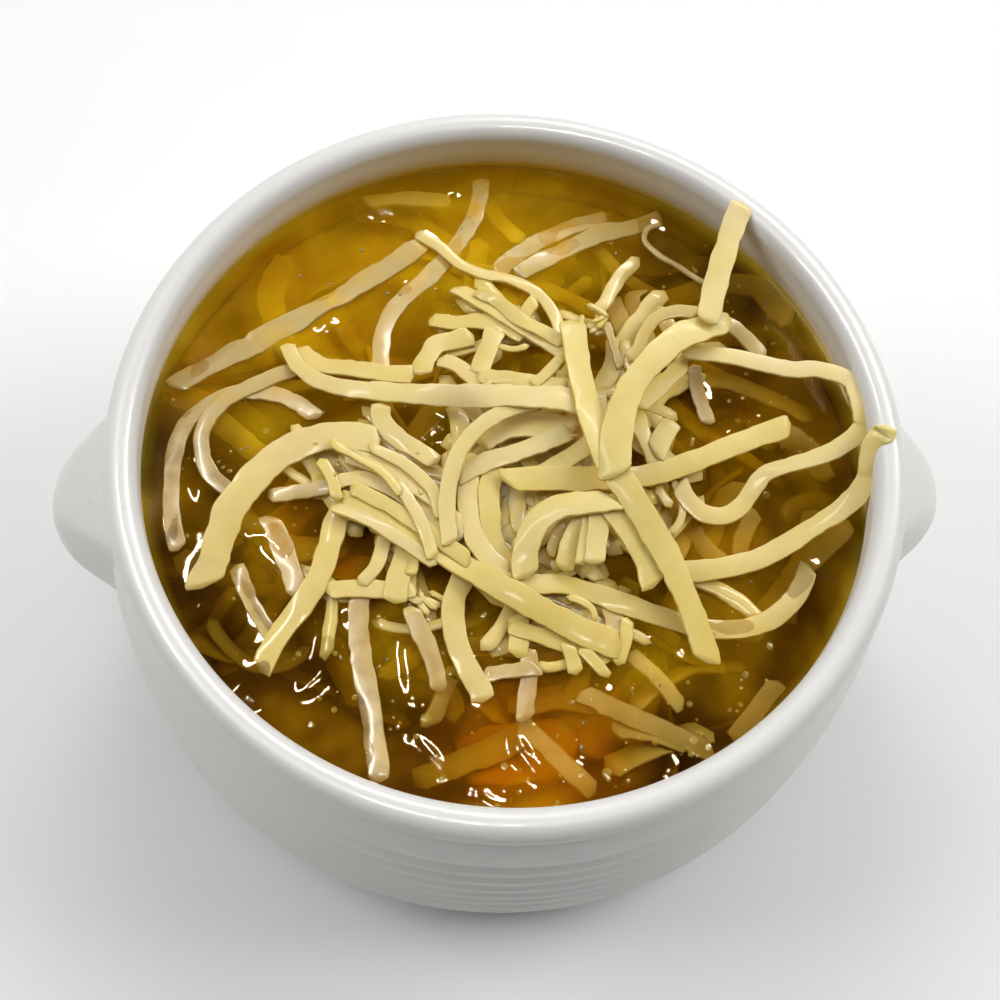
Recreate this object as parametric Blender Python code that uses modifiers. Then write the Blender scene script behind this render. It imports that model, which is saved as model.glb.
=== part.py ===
"""French onion soup in its lug-handled porcelain bowl.

Three solids, all in metres, +Z up, origin under the middle of the foot:

    bowl         one porcelain piece: rolled lip, ribbed belly, foot ring and two lugs
    soup         the broth, filling the bowl up to its level
    cheese_heap  the outline of the loose heap of grated cheese that floats on it

The two lugs lie along the X axis.
"""

import math

import bmesh
import bpy
from mathutils import Vector

MM = 0.001

# Driving dimensions, in metres.
RIM_RADIUS = 65.0 * MM          # outermost point of the rolled lip
HEIGHT = 60.0 * MM              # foot to the top of the lip
LIP_WIDTH = 5.4 * MM            # thickness of the rolled lip
LIP_DROP = 2.6 * MM             # top of the lip down to its widest point
NECK_RADIUS = 64.2 * MM         # outside, in the crease under the lip
NECK_Z = 54.6 * MM
BELLY_RADIUS = 68.0 * MM        # widest part of the wall
BELLY_Z = 20.0 * MM
SHOULDER_Z = 47.0 * MM          # top of the ribbed band
HEEL_Z = 11.0 * MM              # bottom of the ribbed band
WALL = 4.6 * MM                 # wall thickness under the lip
FOOT_RADIUS = 47.0 * MM         # outside of the foot ring
FOOT_WIDTH = 4.0 * MM
FOOT_HEIGHT = 3.0 * MM
FLOOR_Z = 8.0 * MM              # inside bottom of the bowl

RIB_COUNT = 8
RIB_DEPTH = 0.55 * MM

LUG_ROOT = 65.2 * MM            # inside the wall, where the two halves of a lug's form meet
LUG_Z = 37.5 * MM               # height of the lug's widest part
LUG_OUT = 12.8 * MM             # reach of the lug outwards from its root
LUG_IN = 1.4 * MM               # depth buried in the wall
LUG_HALF_WIDTH = 16.5 * MM
LUG_UP = 7.5 * MM
LUG_DOWN = 18.0 * MM
LUG_SQUARENESS = 0.80           # 1 is an ellipsoid, less is boxier

SOUP_LEVEL = 48.2 * MM
GAP = 0.3 * MM                  # clearance between two solids

HEAP_RADIUS = 41.0 * MM         # mean radius of the cheese heap's outline
HEAP_RISE = 13.8 * MM           # heap above the broth
HEAP_CENTRE = (2.0 * MM, 1.0 * MM)
HEAP_LOBES = ((2, 3.0 * MM, 0.4), (3, 2.6 * MM, 1.9), (5, 1.6 * MM, 0.7))

MERGE_DISTANCE = 0.01 * MM
TURN_STEPS = 64                 # facets around the turned shapes
LUG_SEGMENTS = 24
HEAP_SEGMENTS = 44


def clear_scene():
    for thing in list(bpy.data.objects):
        bpy.data.objects.remove(thing, do_unlink=True)


def make_collection(name):
    collection = bpy.data.collections.new(name)
    bpy.context.scene.collection.children.link(collection)
    return collection


def make_material(name, colour, roughness):
    material = bpy.data.materials.new(name)
    material.use_nodes = True
    shader = material.node_tree.nodes["Principled BSDF"]
    shader.inputs["Base Color"].default_value = (*colour, 1.0)
    shader.inputs["Roughness"].default_value = roughness
    shader.inputs["Metallic"].default_value = 0.0
    material.diffuse_color = (*colour, 1.0)
    return material


def arc(centre, radii, start, end, steps):
    """Points of an elliptical arc; angles in degrees, from +X towards +Z."""
    points = []
    for step in range(steps + 1):
        angle = math.radians(start + (end - start) * step / steps)
        points.append((centre[0] + radii[0] * math.cos(angle),
                       centre[1] + radii[1] * math.sin(angle)))
    return points


def belly(z):
    """Outside radius of the smooth wall at height z, between the neck and the heel.

    Two half parabolas that meet at the widest point: a slow swell under the neck and a
    quicker fall towards the heel.
    """
    if z >= BELLY_Z:
        part = (z - BELLY_Z) / (NECK_Z - BELLY_Z)
        return BELLY_RADIUS - (BELLY_RADIUS - NECK_RADIUS) * part ** 2.6
    part = (BELLY_Z - z) / BELLY_Z
    return BELLY_RADIUS - 9.0 * MM * part ** 2.6


def outer_wall():
    """Outer side from the lip's lowest outer point down to the heel, with its ribs."""
    points = [(NECK_RADIUS, NECK_Z), (belly(51.0 * MM), 51.0 * MM)]
    rib_pitch = (SHOULDER_Z - HEEL_Z) / RIB_COUNT
    for rib in range(RIB_COUNT):
        crest = SHOULDER_Z - rib_pitch * rib
        points.append((belly(crest), crest))
        groove = crest - rib_pitch / 2
        points.append((belly(groove) - RIB_DEPTH, groove))
    points.append((belly(HEEL_Z), HEEL_Z))
    return points


def inner_wall(inset=0.0):
    """Inside of the bowl from its middle up to the neck, moved inwards by inset."""
    inside = BELLY_RADIUS - WALL - inset
    floor = FLOOR_Z + inset
    corner = 26.0 * MM
    points = [(0.0, floor)]
    points += arc((inside - corner, floor + corner * 0.8), (corner, corner * 0.8), -90, -8, 7)
    for z in (36.0 * MM, 42.0 * MM, SOUP_LEVEL):
        points.append((belly(z) - WALL - inset, z))
    return points


def bowl_profile():
    """Closed section of the bowl, from the middle of the inside round to the underside."""
    lip = (RIM_RADIUS - LIP_WIDTH / 2, HEIGHT - LIP_DROP)
    points = inner_wall()
    points.append((lip[0] - LIP_WIDTH / 2 + 0.6 * MM, NECK_Z - 1.0 * MM))
    points += arc(lip, (LIP_WIDTH / 2, LIP_DROP), 180, 0, 8)
    points += outer_wall()
    heel = (FOOT_RADIUS + 2.0 * MM, HEEL_Z)
    points += arc(heel, (belly(HEEL_Z) - heel[0], HEEL_Z - FOOT_HEIGHT), -12, -78, 5)
    points += [(FOOT_RADIUS + 0.6 * MM, FOOT_HEIGHT), (FOOT_RADIUS, 0.5 * MM),
               (FOOT_RADIUS - 0.5 * MM, 0.0), (FOOT_RADIUS - FOOT_WIDTH + 0.5 * MM, 0.0),
               (FOOT_RADIUS - FOOT_WIDTH, 0.5 * MM),
               (FOOT_RADIUS - FOOT_WIDTH - 1.0 * MM, FOOT_HEIGHT - 0.4 * MM),
               (0.0, FOOT_HEIGHT)]
    return points


def filling_profile(inset=0.0):
    """Section of what fills the bowl up to the broth's level, from the top downwards."""
    return [(0.0, SOUP_LEVEL)] + inner_wall(inset)[::-1]


def turn(name, profile, collection, material):
    """Turn a section given from the axis out and back into one closed solid of revolution."""
    mesh = bpy.data.meshes.new(name)
    vertices = [(x, 0.0, z) for x, z in profile]
    edges = [(i, i + 1) for i in range(len(profile) - 1)]
    mesh.from_pydata(vertices, edges, [])
    piece = bpy.data.objects.new(name, mesh)
    collection.objects.link(piece)
    screw = piece.modifiers.new("turn", "SCREW")
    screw.axis = "Z"
    screw.angle = math.tau
    screw.steps = TURN_STEPS
    screw.render_steps = TURN_STEPS
    screw.use_merge_vertices = True
    screw.merge_threshold = MERGE_DISTANCE
    screw.use_smooth_shade = True
    mesh.materials.append(material)
    return piece


def lug(side, collection, material):
    """One ear-shaped lug: a squared ellipsoid, shallow above and deep below its widest
    part, whose inner half is pressed flat inside the wall."""
    form = bmesh.new()
    bmesh.ops.create_uvsphere(form, u_segments=LUG_SEGMENTS, v_segments=LUG_SEGMENTS // 2,
                              radius=1.0)
    for vertex in form.verts:
        out, along, up = (math.copysign(abs(value) ** LUG_SQUARENESS, value)
                          for value in vertex.co)
        reach = LUG_OUT if out > 0 else LUG_IN
        rise = LUG_UP if up > 0 else LUG_DOWN
        vertex.co = Vector((side * (LUG_ROOT + reach * out), LUG_HALF_WIDTH * along,
                            LUG_Z + rise * up))
    if side < 0:
        bmesh.ops.reverse_faces(form, faces=form.faces[:])
    mesh = bpy.data.meshes.new("lug")
    form.to_mesh(mesh)
    form.free()
    mesh.materials.append(material)
    piece = bpy.data.objects.new("lug_form", mesh)
    collection.objects.link(piece)
    piece.hide_render = True
    piece.display_type = "WIRE"
    return piece


def make_bowl(collection, cutters, material):
    bowl = turn("bowl", bowl_profile(), collection, material)
    for side in (1, -1):
        join = bowl.modifiers.new("join lug", "BOOLEAN")
        join.operation = "UNION"
        join.solver = "EXACT"
        join.object = lug(side, cutters, material)
    return bowl


def heap_outline(angle):
    """Radius of the heap's lobed outline at an angle about its middle."""
    radius = HEAP_RADIUS
    for count, depth, phase in HEAP_LOBES:
        radius += depth * math.cos(count * angle + phase)
    return radius


def make_heap(collection, material):
    """Heap of shreds: a sphere whose top half becomes a low lumpy dome and whose lower
    half is pressed flat on the broth."""
    form = bmesh.new()
    bmesh.ops.create_uvsphere(form, u_segments=HEAP_SEGMENTS, v_segments=16, radius=1.0)
    base = SOUP_LEVEL + GAP
    for vertex in form.verts:
        x, y, z = vertex.co
        reach = math.hypot(x, y)
        angle = math.atan2(y, x)
        outline = heap_outline(angle)
        height = 0.0
        if z > 1e-6:
            lumps = 1.0 + 0.10 * math.sin(3 * angle + 6 * reach) * reach
            height = (HEAP_RISE - GAP) * min(1.0, z ** 1.1 * lumps)
        vertex.co = Vector((HEAP_CENTRE[0] + outline * reach * math.cos(angle),
                            HEAP_CENTRE[1] + outline * reach * math.sin(angle),
                            base + height))
    mesh = bpy.data.meshes.new("cheese_heap")
    form.to_mesh(mesh)
    form.free()
    mesh.shade_smooth()
    mesh.materials.append(material)
    heap = bpy.data.objects.new("cheese_heap", mesh)
    collection.objects.link(heap)
    return heap


def main():
    clear_scene()
    parts = make_collection("french_onion_soup")
    cutters = make_collection("cutters")
    porcelain = make_material("porcelain", (0.80, 0.79, 0.76), 0.15)
    broth = make_material("broth", (0.40, 0.19, 0.02), 0.12)
    cheese = make_material("cheese", (0.72, 0.58, 0.24), 0.45)
    make_bowl(parts, cutters, porcelain)
    turn("soup", filling_profile(GAP), parts, broth)
    make_heap(parts, cheese)


main()
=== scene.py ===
# %% [markdown]
# # French onion soup in a lug-handled bowl
# A small white porcelain bowl with two ear-shaped lugs stands on a pale table. It is full of
# amber onion broth, with strips of onion and pieces of carrot hanging in it, and a loose heap of
# grated cheese floats on top. The imported CAD gives the frame that every piece below is made in:
# metres, Z up, the origin under the middle of the foot, and the two lugs along X. The first cell
# loads it, and keeps and prints the bowl's box.

# %% The fixed frame
import math

import bpy
import numpy as np
from mathutils import Matrix, Vector


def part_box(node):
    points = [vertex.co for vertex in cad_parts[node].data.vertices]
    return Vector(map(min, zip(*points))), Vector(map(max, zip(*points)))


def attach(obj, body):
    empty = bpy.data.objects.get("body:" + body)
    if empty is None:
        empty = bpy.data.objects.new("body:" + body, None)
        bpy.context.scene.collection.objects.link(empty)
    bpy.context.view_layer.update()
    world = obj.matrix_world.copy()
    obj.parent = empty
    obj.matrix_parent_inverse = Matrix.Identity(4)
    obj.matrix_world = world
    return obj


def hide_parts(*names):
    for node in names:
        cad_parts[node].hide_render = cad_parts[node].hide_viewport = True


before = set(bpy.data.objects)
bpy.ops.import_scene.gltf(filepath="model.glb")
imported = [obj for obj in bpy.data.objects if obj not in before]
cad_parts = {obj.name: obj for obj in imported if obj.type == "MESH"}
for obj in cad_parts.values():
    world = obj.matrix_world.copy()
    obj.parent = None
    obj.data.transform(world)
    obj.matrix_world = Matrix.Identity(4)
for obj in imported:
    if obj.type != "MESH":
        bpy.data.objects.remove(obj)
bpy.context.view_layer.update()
bowl_low, bowl_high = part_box("bowl")
print("bowl box", tuple(bowl_low), tuple(bowl_high))

# %% [markdown]
# ## Sizes
# The broth and the cheese have to meet the bowl exactly, so the sizes of the bowl's section
# are repeated here from its CAD source. The lugs are not a copy. They are measured from
# the wall and lean, so their outline differs from that of the CAD's lugs by a few
# millimetres. All sizes are in millimetres, because a soup bowl is easier to think about
# that way, and making a mesh turns them into metres.

# %% Dimensions, in millimetres
MM, PER_METRE = 0.001, 1000.0
RIM_RADIUS, HEIGHT = 65.0, 60.0
LIP_WIDTH, LIP_DROP = 5.4, 2.6
NECK_RADIUS, NECK_Z = 64.2, 54.6
BELLY_RADIUS, BELLY_Z, WALL = 68.0, 20.0, 4.6
BELLY_POWER, HEEL_TUCK = 2.6, 9.0
EASE_Z = 46.0                   # where the inside starts to ease over into the lip
CORNER_WIDE = 26.0              # the round corner between the inside wall and the floor
CORNER_HIGH = 0.8 * CORNER_WIDE
GAP = 0.3                       # clearance between the broth and the bowl
SHOULDER_Z, HEEL_Z = 47.0, 11.0
FOOT_RADIUS, FOOT_WIDTH, FOOT_HEIGHT, FLOOR_Z = 47.0, 4.0, 3.0, 8.0
RIB_COUNT, RIB_DEPTH = 8, 0.55
LUG_REACH, LUG_Z, LUG_HALF_WIDTH, LUG_UP, LUG_DOWN = 10.5, 41.0, 16.5, 6.0, 18.0
LUG_LEAN = 0.7
LEVEL = 48.2                    # of the broth
TOP = 61.9                      # nothing stands higher
print("broth level", LEVEL, "of", HEIGHT, "mm")


def belly(z):
    """Outside radius at height z: a slow swell above the widest point, and a quicker fall
    of the same power below it."""
    above = np.clip((z - BELLY_Z) / (NECK_Z - BELLY_Z), 0, 1) ** BELLY_POWER
    below = np.clip((BELLY_Z - z) / BELLY_Z, 0, 1) ** BELLY_POWER
    return BELLY_RADIUS - (BELLY_RADIUS - NECK_RADIUS) * above - HEEL_TUCK * below


def inside_radius(z):
    """Radius of the bowl's inside at height z: the wall, easing over into the lip's inner
    edge, which rounds away from the middle above its widest part."""
    lip = RIM_RADIUS - LIP_WIDTH
    up = np.clip((z - (HEIGHT - LIP_DROP)) / LIP_DROP, 0, 1)
    rounded = lip + LIP_WIDTH / 2 * (1 - np.sqrt(1 - up ** 2))
    part = np.clip((z - EASE_Z) / (HEIGHT - LIP_DROP - EASE_Z), 0, 1)
    ease = part * part * (3 - 2 * part)
    return np.where(up > 0, rounded, (belly(z) - WALL) * (1 - ease) + lip * ease)


# %% [markdown]
# ## Surfaces from arrays
# Every piece is a surface worked out with numpy: rows of points around a section, carried
# along a path or turned around an axis. A closed tube of such rings, with a point in the
# middle of each end, makes the bowl, every shred of cheese and every strip of onion. Whole
# arrays are used because the pieces hold about three hundred thousand points between them,
# and a Python loop over those would be slow.

# %% Shapes, and how they join
def shape(points, quads, triangles, along, tone):
    """A surface: points in mm, faces, a length and a place across for each point, and one
    number between -1 and 1 that tells this strand from its neighbours."""
    return {"points": points, "quads": quads, "triangles": triangles,
            "along": along, "tone": np.full(len(points), float(tone))}


def grid_quads(rows, columns):
    """Faces between neighbouring rings: each point joins the next one round its ring and
    the same two on the next ring, and the last column joins the first."""
    i, j = np.meshgrid(np.arange(rows - 1), np.arange(columns), indexing="ij")
    after = (j + 1) % columns
    return np.stack([i * columns + j, i * columns + after, (i + 1) * columns + after,
                     (i + 1) * columns + j], -1).reshape(-1, 4)


def closed_tube(rings, tone=0.0, step=1.0):
    """A tube from rings of points, rows by columns by 3, closed at each end by a fan of
    triangles to the middle of its last ring. It is turned to face outwards."""
    rows, columns = rings.shape[:2]
    points = np.concatenate([rings.reshape(-1, 3), rings[:1].mean(1), rings[-1:].mean(1)])
    quads = grid_quads(rows, columns)
    ring = np.arange(columns)
    after = (ring + 1) % columns
    first, last = rows * columns, rows * columns + 1
    offset = (rows - 1) * columns
    triangles = np.concatenate([
        np.stack([np.full(columns, first), after, ring], -1),
        np.stack([np.full(columns, last), offset + ring, offset + after], -1)])
    lengths = np.repeat(np.arange(rows) * step, columns)
    around = np.tile(np.cos(np.linspace(0, math.tau, columns, endpoint=False)), rows)
    along = np.stack([np.append(lengths, [0, rows * step]), np.append(around, [0, 0])], -1)
    if volume(points, quads, triangles) < 0:
        quads, triangles = quads[:, ::-1], triangles[:, ::-1]
    return shape(points, quads, triangles, along, tone)


def volume(points, quads, triangles):
    """Six times the signed volume: the sum of the triple products of the faces' corners."""
    faces = np.concatenate([triangles, quads[:, :3], quads[:, [0, 2, 3]]])
    a, b, c = points[faces[:, 0]], points[faces[:, 1]], points[faces[:, 2]]
    return float((np.cross(a, b) * c).sum())


def joined(shapes):
    """One shape from many: the points follow each other, and each shape's face numbers
    move up by the count of the points before them."""
    starts = np.cumsum([0] + [len(one["points"]) for one in shapes])
    whole = {key: np.concatenate([one[key] for one in shapes])
             for key in ("points", "along", "tone")}
    for key in ("quads", "triangles"):
        whole[key] = np.concatenate([one[key] + start for one, start in zip(shapes, starts)])
    return whole


# %% [markdown]
# ## From a shape to a piece
# A mesh takes flat lists, so the arrays go in with foreach_set. Each piece carries a UV map that
# runs along its strands, a number per point that tells strands apart, and how cloudy the broth is
# there, with the broth's painted light and shade, all of which its material reads. It rides on
# the one body of this part, takes its finish, and hides the CAD solid that it stands for.

# %% Making a piece
def make_piece(name, form, material, node):
    """A mesh object from a shape, with its finish, its body and the CAD solid it replaces."""
    quads, triangles = form["quads"], form["triangles"]
    corners = np.concatenate([quads.ravel(), triangles.ravel()]).astype(np.int32)
    starts = np.concatenate([np.arange(len(quads)) * 4,
                             len(quads) * 4 + np.arange(len(triangles)) * 3])
    mesh = bpy.data.meshes.new(name)
    mesh.vertices.add(len(form["points"]))
    mesh.vertices.foreach_set("co", (form["points"] * MM).astype(np.float32).ravel())
    mesh.loops.add(len(corners))
    mesh.loops.foreach_set("vertex_index", corners)
    mesh.polygons.add(len(starts))
    mesh.polygons.foreach_set("loop_start", starts.astype(np.int32))
    mesh.update(calc_edges=True)
    unwrapped = mesh.uv_layers.new(name="strand")
    unwrapped.data.foreach_set("uv", form["along"][corners].astype(np.float32).ravel())
    # The cloud field holds the broth's cloud and, with it, painted light and shade.
    fields = {"tone": form["tone"], "cloud": clouding_and_shade(form["points"]),
              "ember": glowing(form["points"])}
    for label, values in fields.items():
        field = mesh.attributes.new(label, "FLOAT", "POINT")
        field.data.foreach_set("value", values.astype(np.float32))
    mesh.validate()
    mesh.shade_smooth()
    mesh.materials.append(material)
    piece = bpy.data.objects.new(name, mesh)
    bpy.context.scene.collection.objects.link(piece)
    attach(piece, "root")
    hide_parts(node)
    print(name, len(quads) * 2 + len(triangles), "triangles")
    return piece


# %% [markdown]
# ## Uneven by nature
# Food is never even. A smooth random field over the table's plane, and a smooth random
# line along a strand, give every piece its own wobble. Both are sums of a few waves with
# random headings from a fixed seed, so that each run gives the same soup.

# %% Smooth random fields
def waves(x, y, pitch, seed, count=24):
    """Random field: the sum of plane waves whose headings and phases are random and whose
    lengths are about pitch, scaled so that its spread is about 1."""
    draw = np.random.default_rng(seed)
    total = np.zeros(np.broadcast(x, y).shape)
    for heading, phase, stretch in zip(draw.uniform(0, math.tau, count),
                                       draw.uniform(0, math.tau, count),
                                       draw.uniform(0.7, 1.5, count)):
        run = x * math.cos(heading) + y * math.sin(heading)
        total += np.cos(math.tau * run / (pitch * stretch) + phase)
    return total * math.sqrt(2 / count)


def wobble(length, count, pitch, draw):
    """Random line: random values a pitch apart, joined by smooth steps, at count places
    along the length."""
    knots = draw.normal(0, 1, int(length / pitch) + 3)
    place = np.linspace(0, len(knots) - 1.001, count)
    part = place % 1
    eased = part * part * (3 - 2 * part)
    return knots[place.astype(int)] * (1 - eased) + knots[place.astype(int) + 1] * eased


print("field spread", round(float(waves(np.arange(900.0), 0.0, 7.0, 1).std()), 2))

# %% [markdown]
# ## Where the broth is clear and where it is cloudy
# Broth is golden where oil and pulp hang in it and near black where it is clear and deep. Its
# patches also hold painted shade, which darkens it along the near and side walls, and painted
# light, which lightens it by the far wall and in the gaps under the heap.
# The large patches are listed: a middle, a radius and a change of brightness. A second list warms
# places towards orange, most of all where carrot lies below. Each patch leans a little, as
# everything that hangs in a tilted view does, so that its deep part lies under its top. Random
# waves of two sizes break the patches up.

# %% Patches
EYE = np.array([-18.7, -111.9, 288.3])
SIGHT_PLANE = 50.0
# Besides cloud, these patches hold painted shade and painted light: the dark ones along the near
# and side walls are painted shade, the bright ones by the far wall are painted light from the
# white wall, and the wide one over the middle lightens the shaded gaps under the heap.
SHADE_AND_CLOUD_PATCHES = [(-30, 45, 13, .24), (-45, 28, 11, .23), (2, 52, 15, .46), (-8, 41, 8, .08),
           (-24, 24, 7, .08), (20, 47, 8, .08), (-59, 2, 6, -.24), (-58, -14, 8, -.30),
           (-47, -28, 9, -.30), (-36, -40, 8, -.26), (-18, -44, 5, -.28), (-15, -53, 6, -.26),
           (-20, -33, 4.5, .16), (-46, -13, 5, .14), (-41, 6, 7, .08), (-40, -17, 4, .18),
           (-27, -15, 4, -.10), (20, -53, 6, -.36), (27, -50, 5, -.25), (22, -32, 5, .20),
           (12, -39, 6, .12), (33, -42, 8, -.10), (45, -32, 8, -.14), (52, -18, 7, -.18),
           (36, -24, 5, .10), (40, 12, 9, -.08), (46, 34, 9, -.20), (28, 38, 9, -.18),
           (11, 50, 6, -.08), (57, 4, 6, -.14), (4, 4, 26, .06)]
EMBERS = [(0, -50, 8, .9), (8, -46, 7, .5), (-3, -42, 4, .6), (-26, -17, 4, .5),
          (-35, -10, 5, .4), (-24, 24, 6, .4), (12, -53, 4, .4), (35, -14, 4, .4),
          (38, 10, 7, .3), (-40, 36, 7, .45), (-20, 41, 6, .4), (-4, 47, 7, .3),
          (-50, 15, 5, .4), (16, 46, 6, .35)]


def leaned(points):
    """The x and y of each point, moved to where the line from it to the eye meets the plane
    near the broth."""
    share = (EYE[2] - SIGHT_PLANE) / (EYE[2] - points[:, 2])
    return (EYE[:2] + (points[:, :2] - EYE[:2]) * share[:, None]).T


def patched(x, y, patches):
    """The sum of the patches: each is its change times e to the power of minus half the
    squared distance over the squared radius."""
    return sum(change * np.exp(-((x - at_x) ** 2 + (y - at_y) ** 2) / (2 * radius ** 2))
               for at_x, at_y, radius, change in patches)


def clouding_and_shade(points):
    """Brightness of the broth at each point, cloud with painted light and shade in it: a middle
    value, waves and patches.
    """
    x, y = leaned(points)
    uneven = 0.065 * waves(x, y, 15.0, 61) + 0.02 * waves(x, y, 5.0, 62)
    return 0.545 + uneven + patched(x, y, SHADE_AND_CLOUD_PATCHES)


def glowing(points):
    """Share of orange at each point: the embers, made uneven by waves."""
    x, y = leaned(points)
    return np.clip(patched(x, y, EMBERS) * (1 + 0.2 * waves(x, y, 7.0, 63)), 0, 1)

# %% [markdown]
# ## Node recipes
# Materials are written as arithmetic. A Reading wraps one output socket, and adding or
# multiplying readings adds Math nodes, so a formula reads as it would on paper. Colours go
# through Mix and Vector Math nodes instead, since a Math node would turn them grey.

# %% The socket wrapper
class Reading:
    """One output socket of a material's nodes, with arithmetic."""

    def __init__(self, recipe, socket):
        self.recipe = recipe
        self.socket = socket

    def math(self, operation, first, second=0.0):
        return self.recipe.add("ShaderNodeMath", {"operation": operation},
                               {0: first, 1: second})

    def __add__(self, other):
        return self.math("ADD", self, other)

    __radd__ = __add__

    def __sub__(self, other):
        return self.math("SUBTRACT", self, other)

    def __rsub__(self, other):
        return self.math("SUBTRACT", other, self)

    def __mul__(self, other):
        return self.math("MULTIPLY", self, other)

    __rmul__ = __mul__

    def __truediv__(self, other):
        return self.math("DIVIDE", self, other)

    def __pow__(self, other):
        return self.math("POWER", self, other)

    def __rpow__(self, other):
        return self.math("POWER", other, self)

    def held(self, low=0.0, high=1.0):
        """The value, kept between two limits."""
        return self.math("MINIMUM", self.math("MAXIMUM", self, low), high)

    def between(self, low, high):
        """0 below low, 1 above high, and a straight slope between."""
        return ((self - low) / (high - low)).held()


class Recipe:
    """The node tree of one material."""

    def __init__(self, name):
        """A new material with no nodes."""
        self.material = bpy.data.materials.new(name)
        self.material.use_nodes = True
        self.tree = self.material.node_tree
        self.tree.nodes.clear()

    def add(self, kind, settings=None, sockets=None, output=0):
        """Adds a node: its settings first, then the values or links of its sockets."""
        node = self.tree.nodes.new(kind)
        for key, value in (settings or {}).items():
            if key == "stops":
                ramp = node.color_ramp
                while len(ramp.elements) < len(value):
                    ramp.elements.new(0.5)
                for element, (place, colour) in zip(ramp.elements, value):
                    element.position = place
                    element.color = (*colour, 1.0)
            else:
                setattr(node, key, value)
        for key, value in (sockets or {}).items():
            if isinstance(value, Reading):
                self.tree.links.new(value.socket, node.inputs[key])
            elif isinstance(value, tuple) and node.inputs[key].type == "RGBA":
                node.inputs[key].default_value = (*value[:3], 1.0)
            else:
                node.inputs[key].default_value = value
        return Reading(self, node.outputs[output])

    def place(self):
        """The point of the surface in object coordinates, in metres."""
        return self.add("ShaderNodeTexCoord", output="Object")

    def axis(self, which):
        """One object coordinate, in millimetres."""
        split = self.add("ShaderNodeSeparateXYZ", {}, {0: self.place()}, output=which)
        return split * PER_METRE

    def noise(self, pitch, detail=2.0, roughness=0.5, vector=None):
        """Noise with lumps about pitch mm across, from 0 to 1."""
        return self.add("ShaderNodeTexNoise", {},
                        {"Vector": vector or self.place(), "Scale": PER_METRE / pitch,
                         "Detail": detail, "Roughness": roughness})

    def mix(self, factor, first, second, blend="MIX"):
        """The first colour at a factor of 0, and the second blended in at 1."""
        return self.add("ShaderNodeMix", {"data_type": "RGBA", "blend_type": blend},
                        {0: factor, 6: first, 7: second}, output=2)

    def colour(self, red, green, blue):
        """A colour from three numbers."""
        return self.add("ShaderNodeCombineColor", {}, {0: red, 1: green, 2: blue})

    def field(self, name):
        """A number that the mesh carries at each point."""
        return self.add("ShaderNodeAttribute", {"attribute_name": name}, output="Fac")

    def strand(self):
        """Coordinates along and across a strand."""
        return self.add("ShaderNodeUVMap", {"uv_map": "strand"})

    def bump(self, height, strength, distance):
        """Normals as if the height stood out from the mesh, with the distance in mm."""
        return self.add("ShaderNodeBump", {}, {"Height": height, "Strength": strength,
                                               "Distance": distance * MM})

    def finish(self, sockets):
        """The Principled shader that the nodes feed, and the output."""
        shader = self.add("ShaderNodeBsdfPrincipled", {}, sockets)
        output = self.tree.nodes.new("ShaderNodeOutputMaterial")
        self.tree.links.new(shader.socket, output.inputs["Surface"])
        return self.material


# %% [markdown]
# ## Seen through the broth
# Broth takes the blue out of light first, then the green, so a white onion strip turns
# yellow just under the surface, amber a few millimetres down, and brown below. That is
# Beer's law: each colour falls by a fixed share per millimetre. The broth is also cloudy,
# and its haze hides more of a thing the deeper it hangs. A volume shader would do both,
# but it is slow and does not travel to other programs. Here each sunken surface works out
# its own depth from its height, dims its colour by that law, and fades into the colour of
# the cloudy broth at its place.

# %% Cloudy broth and the depth tint
LOSS_PER_MM = (0.020, 0.075, 0.55)
HAZE_PER_MM = 0.28


def cloudy(recipe):
    """The broth's colour, with its painted light and shade: the patches and some small noise,
    read through a ramp from brown to gold, then reddened where carrot lies near."""
    small = recipe.noise(6.0, 3.0, 0.6)
    shade = (recipe.field("cloud") + small * 0.24 - 0.12).held()
    colour = recipe.add("ShaderNodeValToRGB", {"stops": [
        (0.0, (0.045, 0.014, 0.0005)), (0.3, (0.170, 0.068, 0.001)),
        (0.6, (0.480, 0.245, 0.002)), (1.0, (0.960, 0.620, 0.008))]}, {0: shade})
    return recipe.mix(recipe.field("ember") * 0.75, colour,
                      recipe.mix(shade, (0.20, 0.045, 0.0005), (0.80, 0.24, 0.001)))


def under_broth(recipe, colour):
    """The colour, dimmed channel by channel by e to the power of minus loss times depth,
    then mixed with the cloudy broth by one minus e to the power of minus haze times
    depth."""
    depth = (LEVEL - recipe.axis("Z")).held(0.0, 40.0)
    red, green, blue = (math.e ** (depth * -loss) for loss in LOSS_PER_MM)
    dimmed = recipe.mix(1.0, colour, recipe.colour(red, green, blue), "MULTIPLY")
    veil = 1.0 - math.e ** (depth * -HAZE_PER_MM)
    return recipe.mix(veil, dimmed, cloudy(recipe))


# %% [markdown]
# ## Porcelain
# The bowl is white tableware: a hard clear glaze over a faintly grey body. The glaze is
# never dead flat, so a long slow bump lets its highlights waver, and below the waterline
# the inside is seen through broth. Just above the broth a thin yellow film of oil clings
# to the wall.

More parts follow.
